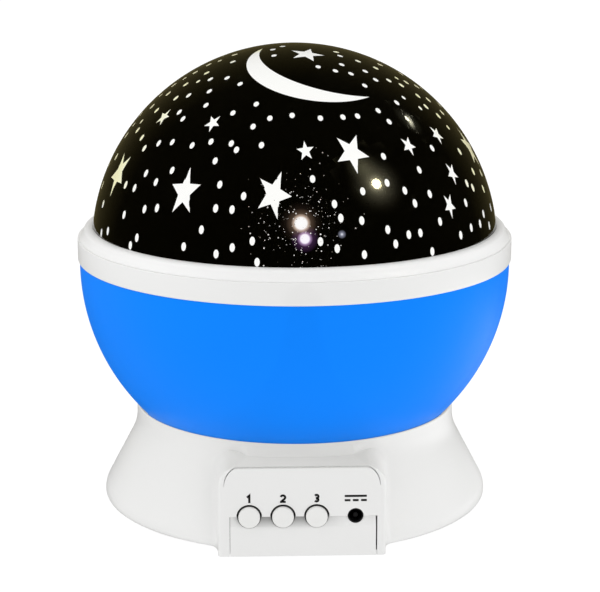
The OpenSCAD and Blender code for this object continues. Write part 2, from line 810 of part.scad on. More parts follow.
module outer_bowl() {
    in_arc_r = bowl_arc_r - bowl_wall;
    shelf_low_z = shelf_z - shelf_t - 1.6 * shelf_w;
    c = [bowl_arc_x, bowl_arc_z];
    color("dodgerblue") difference() {
        rotate_extrude() polygon(concat(
            [[hub_r + 0.1, floor_z], [spigot_r, floor_z], [spigot_r, bowl_edge_z]],
            arc(c, bowl_arc_r, bowl_angle(bowl_arc_r, bowl_edge_z), 0, 28),
            [
                [bowl_r, ring_z], [bowl_r - lap, ring_z], [bowl_r - lap, ring_z + lap_h],
                [bowl_in_r, ring_z + lap_h], [bowl_in_r, shelf_z],
                [bowl_in_r - shelf_w, shelf_z], [bowl_in_r - shelf_w, shelf_z - shelf_t]
            ],
            arc(c, in_arc_r, bowl_angle(in_arc_r, shelf_low_z), bowl_angle(in_arc_r, bowl_edge_z), 24),
            [[spigot_in_r, bowl_edge_z - 0.8], [spigot_in_r, floor_top_z], [hub_r + 0.1, floor_top_z]]
        ));
        around(gear_screw_circle_r, gear_screw_angles)
            translate([0, 0, floor_z - 1]) cylinder(r = screw_r + screw_play, h = wall + 2);
    }
}

module bowl_rim() {
    soft = 0.5;
    color("white") difference() {
        rotate_extrude() polygon(concat(
            [[bowl_r - lap + 0.1, ring_z]],
            arc([ring_r - soft, ring_z + soft], soft, -90, 0, 4),
            arc([ring_r - soft, split_z - soft], soft, 0, 90, 4),
            [
                [lip_r, split_z], [lip_r, split_z - lip_t],
                [bowl_r - lap + 0.1, split_z - lip_t]
            ]
        ));
        // Notches for the keys of the upper ring
        for (a = [0, 120, 240]) rotate(a)
            translate([lip_r - 1, -key_w / 2 - slide_gap, split_z - lip_t - 1])
                cube([key_reach + 1 + slide_gap, key_w + 2 * slide_gap, lip_t + 2]);
    }
}

module ball_gear() {
    color("ivory") difference() {
        union() {
            translate([0, 0, gear_z]) rotate(motor_angle + 180 / gear_teeth)
                linear_extrude(floor_z - gear_z) polygon(gear_outline(gear_teeth));
            translate([0, 0, hub_z]) cylinder(r = hub_r, h = hub_top_z - hub_z);
        }
        // The underside is hollowed over the post's flange, around the hub
        difference() {
            translate([0, 0, gear_z - 1])
                cylinder(r = gear_recess_r, h = floor_z - gear_web_t - gear_z + 1);
            translate([0, 0, hub_z]) cylinder(r = hub_r, h = hub_top_z);
        }
        translate([0, 0, gear_z - 1]) cylinder(r = post_r + bearing_gap, h = hub_top_z - gear_z + 2);
        around(gear_screw_circle_r, gear_screw_angles)
            translate([0, 0, gear_z + 0.4]) cylinder(r = screw_r, h = floor_z - gear_z);
    }
}

module gear_screws() {
    color("silver") around(gear_screw_circle_r, gear_screw_angles)
        translate([0, 0, floor_top_z]) screw(wall + floor_z - gear_z - 0.8);
}

module reflector_plate() {
    t = 1.4;
    out = bowl_in_r - slide_gap;
    drop = 2.4;
    hole = head_r + 0.9;
    color("white") rotate_extrude() polygon([
        [hole, shelf_z - drop], [hole + 1.2, shelf_z - drop], [out - shelf_w - 2, shelf_z],
        [out, shelf_z], [out, shelf_z + t], [out - shelf_w - 2, shelf_z + t],
        [hole + 1.2, shelf_z - drop + t], [hole, shelf_z - drop + t]
    ]);
}

module dome_ring() {
    soft = 0.4;
    out = ring_r - 0.9;
    seat_in = skirt_r - skirt_t;
    color("white") {
        rotate_extrude() polygon(concat(
            [[skirt_r, split_z - skirt_depth], [skirt_r, split_z]],
            arc([out - soft, split_z + soft], soft, -90, 0, 3),
            arc([out - 3, ring_top_z - 2.7], 3, 14, 58, 6),
            [
                [dome_r + 0.3, ring_top_z], [dome_r - 0.1, ring_top_z],
                [dome_r - 0.1, dome_seat_z], [seat_in, dome_seat_z], [seat_in, split_z - skirt_depth]
            ]
        ));
        for (a = [0, 120, 240]) rotate(a)
            translate([skirt_r - 0.5, -key_w / 2, split_z - lip_t + 0.2])
                cube([key_reach + 0.5, key_w, lip_t - 0.2 + tiny]);
    }
}

// A spherical shell round the dome's centre, cut off at height z
module cap(outer_r, t, z) {
    translate([0, 0, dome_z]) rotate_extrude() intersection() {
        difference() {
            circle(r = outer_r);
            circle(r = outer_r - t);
        }
        translate([0, z - dome_z]) square([outer_r + 1, outer_r + 1]);
    }
}

module clear_dome() {
    color("lightcyan", 0.3) cap(dome_r, dome_wall, dome_seat_z);
}

// Outline of a star with five points
star_waist = 0.41;
function star_points(r) = [
    for (i = [0 : 9]) (i % 2 == 0 ? r : star_waist * r) * [sin(36 * i), cos(36 * i)]
];

// Stars: direction round the ball from the front, height, size (1 is large) and turn
stars = [
    [-36, 25, 1, 4], [-8, 26, 1, -21], [17, 38, 1, 40], [-71, 25, 1, 36], [16, 79, 1, 40],
    [80, 31, 1, -16], [2, 39, 0, 6], [-35, 46, 0, 42], [-63, 45, 0, -3], [40, 38, 0, 39],
    [49, 19, 0, 34], [55, 27, 0, 26], [58, 39, 0, 20],
    [104, 24, 1, 12], [128, 40, 0, -8], [141, 22, 1, -14], [168, 30, 1, 6], [179, 46, 0, 18],
    [-160, 24, 0, 0], [-146, 34, 1, -10], [-122, 22, 1, 16], [-104, 42, 0, 4], [-96, 20, 0, -18],
    [112, 58, 0, 10], [-140, 60, 0, -6]
];
moon_way = 21.6;
moon_up = 73.6;
moon_bite = 1.083;
moon_shift = moon_span * [0.17, 0.097];

// The flat print is drawn out as the film is formed, most of all low down
function tall(up) = 1 + (draw_out - 1) * lookup(up, [[20, 1], [38, 0.56], [60, 0.24], [90, 0.1]]);

// Puts a flat outline on the film: w round from the front, u up
module on_film(w, u) {
    translate([0, 0, dome_z]) rotate([0, 0, w]) rotate([90 - u, 0, 0]) children();
}

function film_way(w, u) = [sin(w) * cos(u), -cos(w) * cos(u), sin(u)];
function apart(a, b) = acos(min(1, a * b));

// Round windows follow a spiral of equal areas and keep off the stars and the moon
golden_a = 137.508;
dot_low = 8;
dot_high = 86;
function dot_up(i) = asin(sin(dot_low) + (sin(dot_high) - sin(dot_low)) * (i + 0.5) / dot_places);
function dot_free(d) = min([for (s = stars) apart(d, film_way(s[0], s[1])) - (s[2] == 1 ? 8.5 : 5)]) > 0
    && apart(d, film_way(moon_way, moon_up)) > 24;
dots = [
    for (i = [0 : dot_places - 1]) let (w = i * golden_a, u = dot_up(i))
    if (dot_free(film_way(w, u))) [w, u]
];

module star_film() {
    depth = 4;
    color("black") difference() {
        cap(film_r, film_t, dome_seat_z);
        for (s = stars) on_film(s[0], s[1]) translate([0, 0, film_r - depth / 2])
            scale([1, tall(s[1]), 1]) rotate(s[3])
                linear_extrude(depth) polygon(star_points(s[2] == 1 ? big_star_r : small_star_r));
        for (d = dots) on_film(d[0], d[1]) translate([0, 0, film_r - depth / 2])
            scale([1, tall(d[1]), 1]) cylinder(d = dot_w, h = depth, $fn = 16);
        // Crescent: the outer disc less a disc moved towards the horns
        on_film(moon_way, moon_up) translate([0, 0, film_r - 2 * depth])
            linear_extrude(3 * depth) difference() {
                circle(d = moon_span);
                translate(moon_shift) circle(d = moon_bite * moon_span);
            }
    }
}

base_shell();
bottom_cover();
rubber_feet();
cover_screws();
battery_door();
battery_cells();
battery_springs();
battery_contacts();
control_board();
switch_bodies();
plunger_1();
plunger_2();
plunger_3();
button_1();
button_2();
button_3();
dc_jack();
gearmotor();
motor_shaft();
drive_pinion();
motor_screws();
lamp_post();
post_screws();
thrust_washer();
retaining_ring();
lamp_head();
led_board();
leds();
lamp_lead();
motor_lead();
battery_lead();
outer_bowl();
bowl_rim();
ball_gear();
gear_screws();
reflector_plate();
dome_ring();
clear_dome();
star_film();
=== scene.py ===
"""Star night light projector: a printed dome over a blue bowl that turns on a white base.

The file follows the light as it is put together, from the base up to the dome. Shapes are
worked out in millimetres in the light's own frame: the origin lies on the floor on the
ball's axis, +Z is up and the control box faces -Y.
"""

import bmesh
import bpy
import numpy as np
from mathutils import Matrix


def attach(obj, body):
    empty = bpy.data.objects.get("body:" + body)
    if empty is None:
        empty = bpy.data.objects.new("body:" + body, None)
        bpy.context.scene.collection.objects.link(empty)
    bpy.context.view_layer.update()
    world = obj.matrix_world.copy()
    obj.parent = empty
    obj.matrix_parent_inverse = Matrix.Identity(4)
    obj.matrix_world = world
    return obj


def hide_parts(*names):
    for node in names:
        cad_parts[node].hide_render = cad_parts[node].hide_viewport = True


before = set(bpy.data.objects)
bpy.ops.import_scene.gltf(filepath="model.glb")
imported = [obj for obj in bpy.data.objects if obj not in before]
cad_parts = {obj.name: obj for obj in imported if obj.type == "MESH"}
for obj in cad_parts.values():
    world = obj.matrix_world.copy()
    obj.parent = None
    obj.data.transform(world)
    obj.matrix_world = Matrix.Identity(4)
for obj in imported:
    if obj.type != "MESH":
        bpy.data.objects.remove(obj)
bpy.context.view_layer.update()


# ---------------------------------------------------------------- base shell
# One moulding of glossy white plastic: a flared skirt, the dish that the bowl
# turns in, and the box at the front for the buttons and the power inlet. It
# stands open below, where the bottom cover is screwed in.

def arc(centre, radius, start, end, steps):
    """Points centre + radius * (cos a, sin a), for a in even steps from start to end degrees."""
    a = np.radians(np.linspace(start, end, steps + 1))
    return np.stack([centre[0] + radius * np.cos(a), centre[1] + radius * np.sin(a)], axis=1)


def grid_faces(rows, columns, first=0, wrap_rows=False, wrap_columns=True):
    """Corners (i, j), (i, j + 1), (i + 1, j + 1), (i + 1, j) of every cell of a grid."""
    index = first + np.arange(rows * columns).reshape(rows, columns)
    cells = np.stack([index, np.roll(index, -1, 1), np.roll(index, (-1, -1), (0, 1)),
                      np.roll(index, -1, 0)], axis=-1)
    down, across = rows if wrap_rows else rows - 1, columns if wrap_columns else columns - 1
    return cells[:down, :across].reshape(-1, 4)


crease = np.radians(32.0)


def closed_mesh(name, points, faces):
    """A mesh of points in millimetres: points that fall together become one, faces look
    outwards, and edges that turn by more than crease stay sharp."""
    mesh = bpy.data.meshes.new(name)
    mesh.from_pydata((np.asarray(points).reshape(-1, 3) * 0.001).tolist(), [], faces.tolist())
    work = bmesh.new()
    work.from_mesh(mesh)
    bmesh.ops.remove_doubles(work, verts=work.verts, dist=2e-7)
    bmesh.ops.dissolve_degenerate(work, edges=work.edges, dist=1e-7)
    bmesh.ops.recalc_face_normals(work, faces=work.faces)
    work.to_mesh(mesh)
    work.free()
    mesh.shade_smooth()
    mesh.set_sharp_from_angle(angle=crease)
    return mesh


def new_object(name, data):
    """A new object in the scene, with that mesh, lamp or camera."""
    made = bpy.data.objects.new(name, data)
    bpy.context.scene.collection.objects.link(made)
    return made


def place(name, mesh, finish, body, nodes):
    """Adds a mesh as a piece that moves with a body and stands for CAD nodes, if there are any."""
    made = new_object(name, mesh)
    made.data.materials.append(finish)
    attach(made, body)
    if nodes:
        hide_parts(*nodes)
    return made


def node_group(name, inputs, outputs):
    """An empty shader group with the named sockets; returns it with its two ends."""
    group = bpy.data.node_groups.new(name, "ShaderNodeTree")
    for side, sockets in (("INPUT", inputs), ("OUTPUT", outputs)):
        for label, kind in sockets.items():
            group.interface.new_socket(name=label, in_out=side, socket_type="NodeSocket" + kind)
    return group, group.nodes.new("NodeGroupInput"), group.nodes.new("NodeGroupOutput")


def add(tree, kind, values=None, **settings):
    """A shader node of that kind, with its settings, and values or links on its inputs."""
    node = tree.nodes.new("ShaderNode" + kind)
    for key, value in settings.items():
        setattr(node, key, value)
    for key, value in (values or {}).items():
        if isinstance(value, bpy.types.NodeSocket):
            tree.links.new(value, node.inputs[key])
        else:
            node.inputs[key].default_value = value
    return node


def calc(tree, operation, *values, **settings):
    """What a Math node gives for its values or links."""
    made = add(tree, "Math", dict(enumerate(values)), operation=operation, **settings)
    return made.outputs[0]


def here(tree):
    """The place of a point on its own object, in metres."""
    return add(tree, "TexCoord").outputs["Object"]


def noise(tree, where, scale, detail=2.0):
    """A cloud of values about a half, of that scale and detail."""
    return add(tree, "TexNoise", {"Vector": where, "Scale": scale, "Detail": detail}).outputs[0]


def bump(tree, height, depth):
    """The normal tipped by a height that stands for the given depth in metres."""
    return add(tree, "Bump", {"Height": height, "Distance": depth, "Strength": 1.0}).outputs[0]


def new_finish(name):
    """An empty material and its tree."""
    material = bpy.data.materials.new(name)
    material.use_nodes = True
    material.node_tree.nodes.clear()
    return material, material.node_tree


def end_finish(material, values):
    """Ends a material in one Principled shader with those values or links."""
    surface = add(material.node_tree, "BsdfPrincipled", values)
    add(material.node_tree, "OutputMaterial", {"Surface": surface.outputs[0]})
    return material


def moulded_skin_group():
    """How a moulded or painted skin varies: Tone drifts by Drift over a few centimetres,
    Polish spreads round Gloss, and a fine grain of the given Size and Depth tips the normal."""
    group, start, end = node_group(
        "moulded_skin", {"Tone": "Color", "Drift": "Float", "Gloss": "Float", "Spread": "Float",
                         "Size": "Float", "Depth": "Float"},
        {"Tone": "Color", "Polish": "Float", "Normal": "Vector"})
    where, given = here(group), start.outputs
    sway = calc(group, "SUBTRACT", noise(group, where, 32.0, 3.0), 0.5)
    value = calc(group, "MULTIPLY_ADD", sway, given["Drift"], 1.0)
    tone = add(group, "HueSaturation", {"Value": value, "Color": given["Tone"]})
    shift = calc(group, "SUBTRACT", noise(group, where, 210.0, 4.0), 0.5)
    polish = calc(group, "MULTIPLY_ADD", shift, given["Spread"], given["Gloss"], use_clamp=True)
    grain = noise(group, where, given["Size"])
    group.links.new(tone.outputs[0], end.inputs["Tone"])
    group.links.new(polish, end.inputs["Polish"])
    group.links.new(bump(group, grain, given["Depth"]), end.inputs["Normal"])
    return group


moulded_skin = moulded_skin_group()


def skin(tree, tone, gloss=0.35, drift=0.03, spread=0.08, size=1800.0, depth=0.00001):
    """The moulded skin of a tone, a colour or a link, as values for a Principled shader."""
    made = add(tree, "Group",
               {"Tone": tone if isinstance(tone, bpy.types.NodeSocket) else (*tone, 1),
                "Gloss": gloss, "Drift": drift, "Spread": spread, "Size": size, "Depth": depth},
               node_tree=moulded_skin)
    return {"Base Color": made.outputs["Tone"], "Roughness": made.outputs["Polish"],
            "Normal": made.outputs["Normal"]}


def moulded(name, tone, shader=None, **values):
    """A moulded plastic or painted finish: the skin's variation on one Principled shader."""
    material, tree = new_finish(name)
    return end_finish(material, {**skin(tree, tone, **values), **(shader or {})})


# The white mouldings mirror less than other plastic
dull = {"Specular IOR Level": 0.3}
white = (0.84, 0.84, 0.832)
white_shell = moulded("white_shell", white, dull, gloss=0.3, drift=0.02, depth=0.000006)


def box_reach(way, half, front, soft):
    """Distance from the axis to a box of that half width and front, whose upright edges have
    the radius soft: front / cos, half / sin, or the far root on the edge's circle between."""
    across, ahead = np.abs(np.sin(way)), np.maximum(np.cos(way), 1e-6)
    side, face = half / np.maximum(across, 1e-6), front / ahead
    along = across * (half - soft) + ahead * (front - soft)
    edge = along + np.sqrt(np.maximum(along**2 - (half - soft)**2 - (front - soft)**2 + soft**2, 0))
    reach = np.where(side * ahead <= front - soft, side, edge)
    reach = np.where(face * across <= half - soft, face, reach)
    return np.where(np.cos(way) > 0.01, reach, 0)


def blend_max(a, b, width):
    """The larger of a and b, with the corner between them filled over the given width."""
    width = np.maximum(width, 1e-6)
    share = np.clip(0.5 + 0.5 * (a - b) / width, 0, 1)
    return b + (a - b) * share + width * share * (1 - share)


# The control box: its face, the middle and radius of its upper corners, and what opens in it
face_y = -60
corner_x, corner_z, corner_r = 18.25, 21.8, 5.5
button_x = (-14.9, -5.4, 4.1)
inlet_x = 15.05
control_z = 12.8


def base_shell_mesh():
    """Rows of heights by columns of directions. The radius is the larger of the flare's
    arcs and the control box's outline, with a fillet where they meet; over the box the
    rows run in along its top and up the sloping neck, over the rim, down the dish and back
    inside."""
    fan = np.radians(np.concatenate([np.arange(0, 15), np.arange(15, 23, 0.2),
                                     np.arange(23, 32, 0.35), np.arange(32, 180, 2.5)]))
    way = np.concatenate([fan, [np.pi], 2 * np.pi - fan[:0:-1]])
    way = np.where(way > np.pi, way - 2 * np.pi, way)[None, :]
    # Outside of the skirt: its foot's edge, then two arcs up to the waist
    edge = arc((56.7, 2.5), 1.5, -90, 0, 6)
    flare = np.concatenate([edge, arc((52.2, 2.5), 6, 0, 27.64, 10)[1:],
                            arc((64.1, 27.2), 16, 207.64, 180, 14)])
    # The box by height: half width and front, both drawn in at the top by their own radius
    soft, soft_z = 1.2, 26.1
    quarter = [np.sin(np.radians(np.linspace(0, 90, steps))) for steps in (15, 7)]
    z = np.unique(np.round(np.concatenate([
        edge[:, 1], np.arange(3, corner_z, 0.7), corner_z + corner_r * quarter[0],
        soft_z + soft * quarter[1]]), 4))[:, None]
    half = corner_x + np.sqrt(corner_r**2 - np.clip(z - corner_z, 0, corner_r)**2)
    front = -face_y - soft + np.sqrt(soft**2 - np.clip(z - soft_z, 0, soft)**2)
    box = box_reach(way, half, front, soft)
    fillet = 5.0 * np.clip((front - 1.0 - box * np.cos(way)) / 4, 0, 1)
    outside = blend_max(box, np.interp(z, flare[:, 1], flare[:, 0]), fillet)
    # In along the box's top, which sinks a little outwards, and up the neck
    top_z = soft_z + soft
    neck_r, rim_r, rim_z = 48.1, 0.3, 29.9
    foot = neck_r + 2.3 * np.clip((outside[-1:] - neck_r) / 11, 0, 1)
    reach = np.maximum(outside[-1:] - foot, 0)
    step = np.linspace(0, 1, 13)[1:, None]
    neck = np.linspace(0, 1, 7)[1:, None]
    roof = np.concatenate([foot + reach * (1 - step), foot + (neck_r - foot) * neck])
    low = top_z - 0.03 * reach
    roof_z = np.concatenate([top_z + (low - top_z) * step, low + (rim_z - low) * neck])
    # Over the rim and down the dish, and back inside along the same forms, one wall in
    dish = np.concatenate([
        arc((neck_r - rim_r, rim_z), rim_r, 0, 180, 8)[1:],
        [[47.5, 28.4], [46.0, 28.2], [46.0, 25.0]],
        arc((45.4, 21.2), 0.6, 0, -90, 3), [[30, 20.6], [3.2, 20.6], [3.2, 18.6], [30, 18.6]]])
    under = np.array([18.6, 17, 15, 13, 11, 9, 7, 5.5, 4.2, 3.2, 2.5, 1.0])[:, None]
    lining = np.concatenate([[[56.2, 1.0]], arc((52.2, 2.5), 4, 0, 28.88, 6),
                             arc((63.7, 27.2), 18, 208.88, 180, 8)])
    inside = np.maximum(np.interp(under, lining[:, 1], lining[:, 0]),
                        box_reach(way, 21.75, 58.0, 0.2))
    wide = np.ones_like(way)
    radius = np.concatenate([outside, roof, dish[:, :1] * wide, inside])
    height = np.concatenate([z * wide, roof_z, dish[:, 1:] * wide, under * wide])
    points = np.stack([radius * np.sin(way), -radius * np.cos(way), height], axis=-1)
    return closed_mesh("base_shell_skin", points, grid_faces(*radius.shape, wrap_rows=True))


def drill(x, z, radius, y0, y1):
    """A round cutter along Y: two discs and the wall between them."""
    a = np.radians(np.linspace(0, 360, 48, endpoint=False))
    rings = [(0, y0), (radius, y0), (radius, y1), (0, y1)]
    points = np.stack([np.stack([x + r * np.cos(a), y + 0 * a, z + r * np.sin(a)], axis=1)
                       for r, y in rings])
    return points, grid_faces(4, 48)


def block(low, high):
    """A plain cutter between two corners."""
    corners = np.array(np.meshgrid(*zip(low, high), indexing="ij")).reshape(3, -1).T
    faces = np.array([[0, 1, 3, 2], [4, 6, 7, 5], [0, 4, 5, 1], [2, 3, 7, 6], [0, 2, 6, 4],
                      [1, 5, 7, 3]])
    return corners, faces


def outline_groove(near=0.03, wide=0.36, front=-60.5, back=-58.7):
    """A cutter for the fine line round the top of the box's face: half of an oval that touches
    the face's top and stays off its sides, drawn in by near and by a little more, and thinning
    out to both ends."""
    rims = []
    for inset in (near, near + wide * (0.2 + 0.8 * np.sin(np.linspace(0, np.pi / 2, 13))[:, None])):
        half = arc((0, 0), 1, 0, 90, 12) * (np.array([3.8, corner_r]) - inset)
        half += [corner_x, corner_z]
        rims.append(np.concatenate([half * [-1, 1], half[::-1]]))
    rows = np.stack([np.insert(rim, 1, y, axis=1) for rim, y in zip(
        (rims[0], rims[1], rims[1], rims[0]), (front, front, back, back))], axis=1)
    ends = [row.mean(0, keepdims=True).repeat(4, 0)[None] for row in (rows[0], rows[-1])]
    points = np.concatenate([ends[0], rows, ends[1]])
    return points, grid_faces(len(points), 4)


def cut_away(made, cutters):
    """Takes the cutters' volumes out of a piece's mesh, then removes the cutters."""
    tools = []
    for points, faces in cutters:
        tool = new_object("cutter", closed_mesh("cutter", points, faces))
        made.modifiers.new("cut", "BOOLEAN").object = tool
        tools.append(tool)
    bpy.context.view_layer.update()
    cut = made.evaluated_get(bpy.context.evaluated_depsgraph_get())
    mesh = bpy.data.meshes.new_from_object(cut)
    made.modifiers.clear()
    made.data = mesh
    mesh.shade_smooth()
    mesh.set_sharp_from_angle(angle=crease)
    for tool in tools:
        bpy.data.objects.remove(tool)


base_shell = place("base_shell_skin", base_shell_mesh(), white_shell, "base", ["base_shell"])
# Holes for the buttons and the inlet, the lower half that the cover's tongue closes, and the line
through = face_y - 2, face_y + 3
cut_away(base_shell,
         [drill(x, control_z, 3.6, *through) for x in button_x]
         + [drill(inlet_x, control_z, 2.27, *through),
            block((-20.4, through[0], -1), (21.19, through[1], control_z)), outline_groove()])


# ------------------------------------------ bottom cover, battery door, feet
# The cover is a flat white moulding that four screws hold in the base. Its
# tongue stands up in front and closes the lower half of the control box; the
# door under the cells hooks in behind and snaps shut. Rubber feet are glued in.

def finish_nodes(finish, *nodes):
    """Gives CAD nodes a finish, in the slots of their objects."""
    for node in nodes:
        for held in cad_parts[node].material_slots:
            held.material = finish


def part_of(tree, whole, axis):
    """One coordinate of a vector: X, Y or Z."""
    return add(tree, "SeparateXYZ", {0: whole}).outputs[axis]


def span(tree, value, start, stop, low=0.0, high=1.0, **settings):
    """low up to start, high from stop on, and an even change between them."""
    return add(tree, "MapRange", {"Value": value, "From Min": start, "From Max": stop,
                                            "To Min": low, "To Max": high}, **settings).outputs[0]


def blend(tree, share, first, second, **settings):
    """The colour between the first and the second, by share."""
    return add(tree, "Mix", {"Factor": share, "A": first, "B": second},
               data_type="RGBA", **settings).outputs["Result"]


def ramp(tree, value, stops, interpolation="LINEAR"):
    """The colour for a value, by stops of (value, colour)."""
    made = add(tree, "ValToRGB", {"Fac": value})
    made.color_ramp.interpolation = interpolation
    marks = made.color_ramp.elements
    marks[0].position, marks[1].position = stops[0][0], stops[-1][0]
    marks[0].color, marks[1].color = (*stops[0][1], 1), (*stops[-1][1], 1)
    for at, colour in stops[1:-1]:
        marks.new(at).color = (*colour, 1)
    return made.outputs[0]


def cover_with_painted_shade():
    """The shell's white plastic, with a painted shade in the hollow under the buttons: full at
    the tongue's top edge, gone 4 mm lower, and weaker to both sides of the buttons."""
    material, tree = new_finish("white_cover_painted_shade")
    where = here(tree)
    down = span(tree, part_of(tree, where, "Z"), 0.0086, 0.0128, interpolation_type="SMOOTHSTEP")
    along = span(tree, part_of(tree, where, "X"), -0.020, 0.012)
    weight = ramp(tree, along, [(at, (level,) * 3) for at, level in (
        (0, 0), (0.06, 0.35), (0.17, 1), (0.74, 1), (0.84, 0.3), (1, 0))])
    shade = calc(tree, "MULTIPLY", down, weight)
    tone = blend(tree, shade, (*white, 1), (0.36, 0.36, 0.355, 1))
    return end_finish(material, {**skin(tree, tone, gloss=0.3, depth=0.000006), **dull})


finish_nodes(cover_with_painted_shade(), "bottom_cover")
finish_nodes(white_shell, "battery_door")
finish_nodes(moulded("foot_rubber", (0.035, 0.035, 0.037), gloss=0.75, drift=0.3, size=900.0,
                     depth=0.00004), "rubber_feet")


def brushed(name, tone, gloss, stretch=(1.0, 1.0, 40.0), scale=260.0):
    """Bare metal: fine scratches drawn out along one axis vary its polish and its height."""
    material, tree = new_finish(name)
    drawn = add(tree, "Mapping", {"Vector": here(tree), "Scale": stretch})
    hair = noise(tree, drawn.outputs[0], scale, 5.0)
    return end_finish(material, {
        "Base Color": ramp(tree, hair, [(0, [0.8 * c for c in tone]), (1, tone)]),
        "Roughness": span(tree, hair, 0, 1, gloss - 0.1, gloss + 0.15),
        "Normal": bump(tree, hair, 0.000008), "Metallic": 1.0})


zinc_screw = brushed("zinc_screw", (0.62, 0.64, 0.66), 0.32)
finish_nodes(zinc_screw, "cover_screws")


# ------------------------------------------- cells, springs, contacts, leads
# Four thin cells lie side by side in the cover's bay, each pressed by a
# spring against a nickelled contact. Soft jacketed leads run to the board.

def cell_jacket_finish():
    """A dark sleeve with a copper-coloured band at both ends, by the place along X."""
    material, tree = new_finish("cell_jacket")
    along = span(tree, part_of(tree, here(tree), "X"), -0.025, 0.025)
    copper, dark = (0.42, 0.2, 0.08), (0.03, 0.033, 0.038)
    bands = ramp(tree, along, [(0, copper), (0.15, dark), (0.86, copper)], "CONSTANT")
    return end_finish(material, skin(tree, bands, gloss=0.28, drift=0.1))


finish_nodes(cell_jacket_finish(), "battery_cells")
finish_nodes(brushed("spring_steel", (0.66, 0.65, 0.6), 0.25, (40.0, 1.0, 1.0), scale=400.0),
             "battery_springs", "battery_contacts", "retaining_ring")
finish_nodes(moulded("lead_jacket", (0.55, 0.03, 0.02), gloss=0.45, drift=0.12, spread=0.15),
             "lamp_lead", "motor_lead", "battery_lead")


# --------------------------------------------- control board and power inlet
# A green board stands in rails behind the box's face and carries three small
# switches and the round power inlet, whose nose fills its hole in the face.

def board_finish():
    """Green solder mask over copper: a maze of square-cornered lines shows a little lighter."""
    material, tree = new_finish("board_green")
    turned_flat = add(tree, "Mapping", {"Vector": here(tree), "Rotation": (np.pi / 2, 0, 0)})
    lines = add(tree, "TexBrick",
                {"Vector": turned_flat.outputs[0], "Scale": 150.0, "Mortar Size": 0.045,
                 "Mortar Smooth": 0.1, "Color1": (0, 0, 0, 1), "Color2": (0.15, 0.15, 0.15, 1),
                 "Mortar": (1, 1, 1, 1)}).outputs["Color"]
    tint = ramp(tree, lines, [(0, (0.008, 0.09, 0.03)), (1, (0.03, 0.2, 0.07))])
    return end_finish(material, {"Base Color": tint, "Roughness": 0.3,
                                 "Normal": bump(tree, lines, 0.00004)})


finish_nodes(board_finish(), "control_board")
black_plastic = moulded("black_plastic", (0.012, 0.012, 0.013), drift=0.25, spread=0.12)
finish_nodes(black_plastic, "dc_jack", "switch_bodies", "plunger_1", "plunger_2", "plunger_3")


# ------------------------------------------------------------------- buttons
# Three white push buttons stand out of the box's face. Each is a small turned
# cap with a softened edge, a collar that keeps it in and a stem to its switch.

def soft_outline(corners, steps=5):
    """An outline through corners (r, z, back): each corner gives way to the parabola that
    leaves its two sides at the distance back from it."""
    c = np.array(corners, float)
    p, back = c[:, None, :2], c[:, None, 2:]
    before, after = np.roll(p, 1, 0) - p, np.roll(p, -1, 0) - p
    start = p + back * before / np.linalg.norm(before, axis=-1, keepdims=True)
    end = p + back * after / np.linalg.norm(after, axis=-1, keepdims=True)
    u = np.linspace(0, 1, steps + 1)[None, :, None]
    return ((1 - u)**2 * start + 2 * u * (1 - u) * p + u**2 * end).reshape(-1, 2)


def turned(outline, columns):
    """Points and faces of a closed outline (r, z) carried round Z: (r cos a, r sin a, z)."""
    a = np.linspace(0, 2 * np.pi, columns, endpoint=False)[None, :]
    r, z = outline[:, :1], outline[:, 1:]
    points = np.stack([r * np.cos(a), r * np.sin(a), z + 0 * a], axis=-1)
    return points, grid_faces(*points.shape[:2], wrap_rows=True)


def button_with_painted_shade():
    """White plastic on the cap, and a painted shade on its side inside the housing for the dark gap
    round it, by the place along Y.
    """
    material, tree = new_finish("white_button")
    deep = span(tree, part_of(tree, here(tree), "Y"), -0.0602, -0.0598)
    tone = blend(tree, deep, (0.84, 0.84, 0.825, 1), (0.03, 0.03, 0.03, 1))
    return end_finish(material, {**skin(tree, tone, gloss=0.33, depth=0.000005), **dull})


white_button = button_with_painted_shade()
cap = soft_outline([(0, 0, 0), (3.05, 0, 0.5), (3.05, 3.2, 0), (3.85, 3.2, 0.1), (3.85, 4.0, 0.1),
                    (1.5, 4.0, 0), (1.5, 5.8, 0), (0, 5.8, 0)])
upright, cap_faces = turned(cap, 96)
for number, x in enumerate(button_x, start=1):
    points = upright[..., [0, 2, 1]] + [x, face_y - 1.1, control_z]
    place(f"button_{number}_cap", closed_mesh("button_cap", points, cap_faces), white_button,
          f"key_{number}", [f"button_{number}"])


# ----------------------------------------------------- marks on the box face
# Plain numbers over the buttons and the sign for direct current over the
# inlet, pad-printed in black: an ink layer a few hundredths thick.

mark_ink = moulded("mark_ink", (0.006, 0.006, 0.006), gloss=0.55, drift=0.4, spread=0.2,
                   size=2600.0)


def stroke(path, width=0.6, thick=0.05):
    """A flat stroke along a path (x, z) on the box's face: the path moved to both sides by
    half the width along its normals, once on the face and once proud of it, ends closed."""
    path = np.array(path, float)
    run = path[1:] - path[:-1]
    run /= np.linalg.norm(run, axis=1, keepdims=True)
    before, after = np.vstack([run[:1], run]), np.vstack([run, run[-1:]])
    mitre = (before + after) / (1 + (before * after).sum(1, keepdims=True))
    side = 0.5 * width * np.stack([-mitre[:, 1], mitre[:, 0]], 1)
    rows = np.stack([path + side, path - side, path - side, path + side], 1)
    ends = [row.mean(1, keepdims=True).repeat(4, 1) for row in (rows[:1], rows[-1:])]
    rows = np.concatenate([ends[0], rows, ends[1]])
    depth = np.array([0.02, 0.02, -thick, -thick]) + face_y
    level = np.full(4, depth.mean())
    depth = np.vstack([level, np.tile(depth, (len(path), 1)), level])
    return np.stack([rows[..., 0], depth, rows[..., 1]], -1)


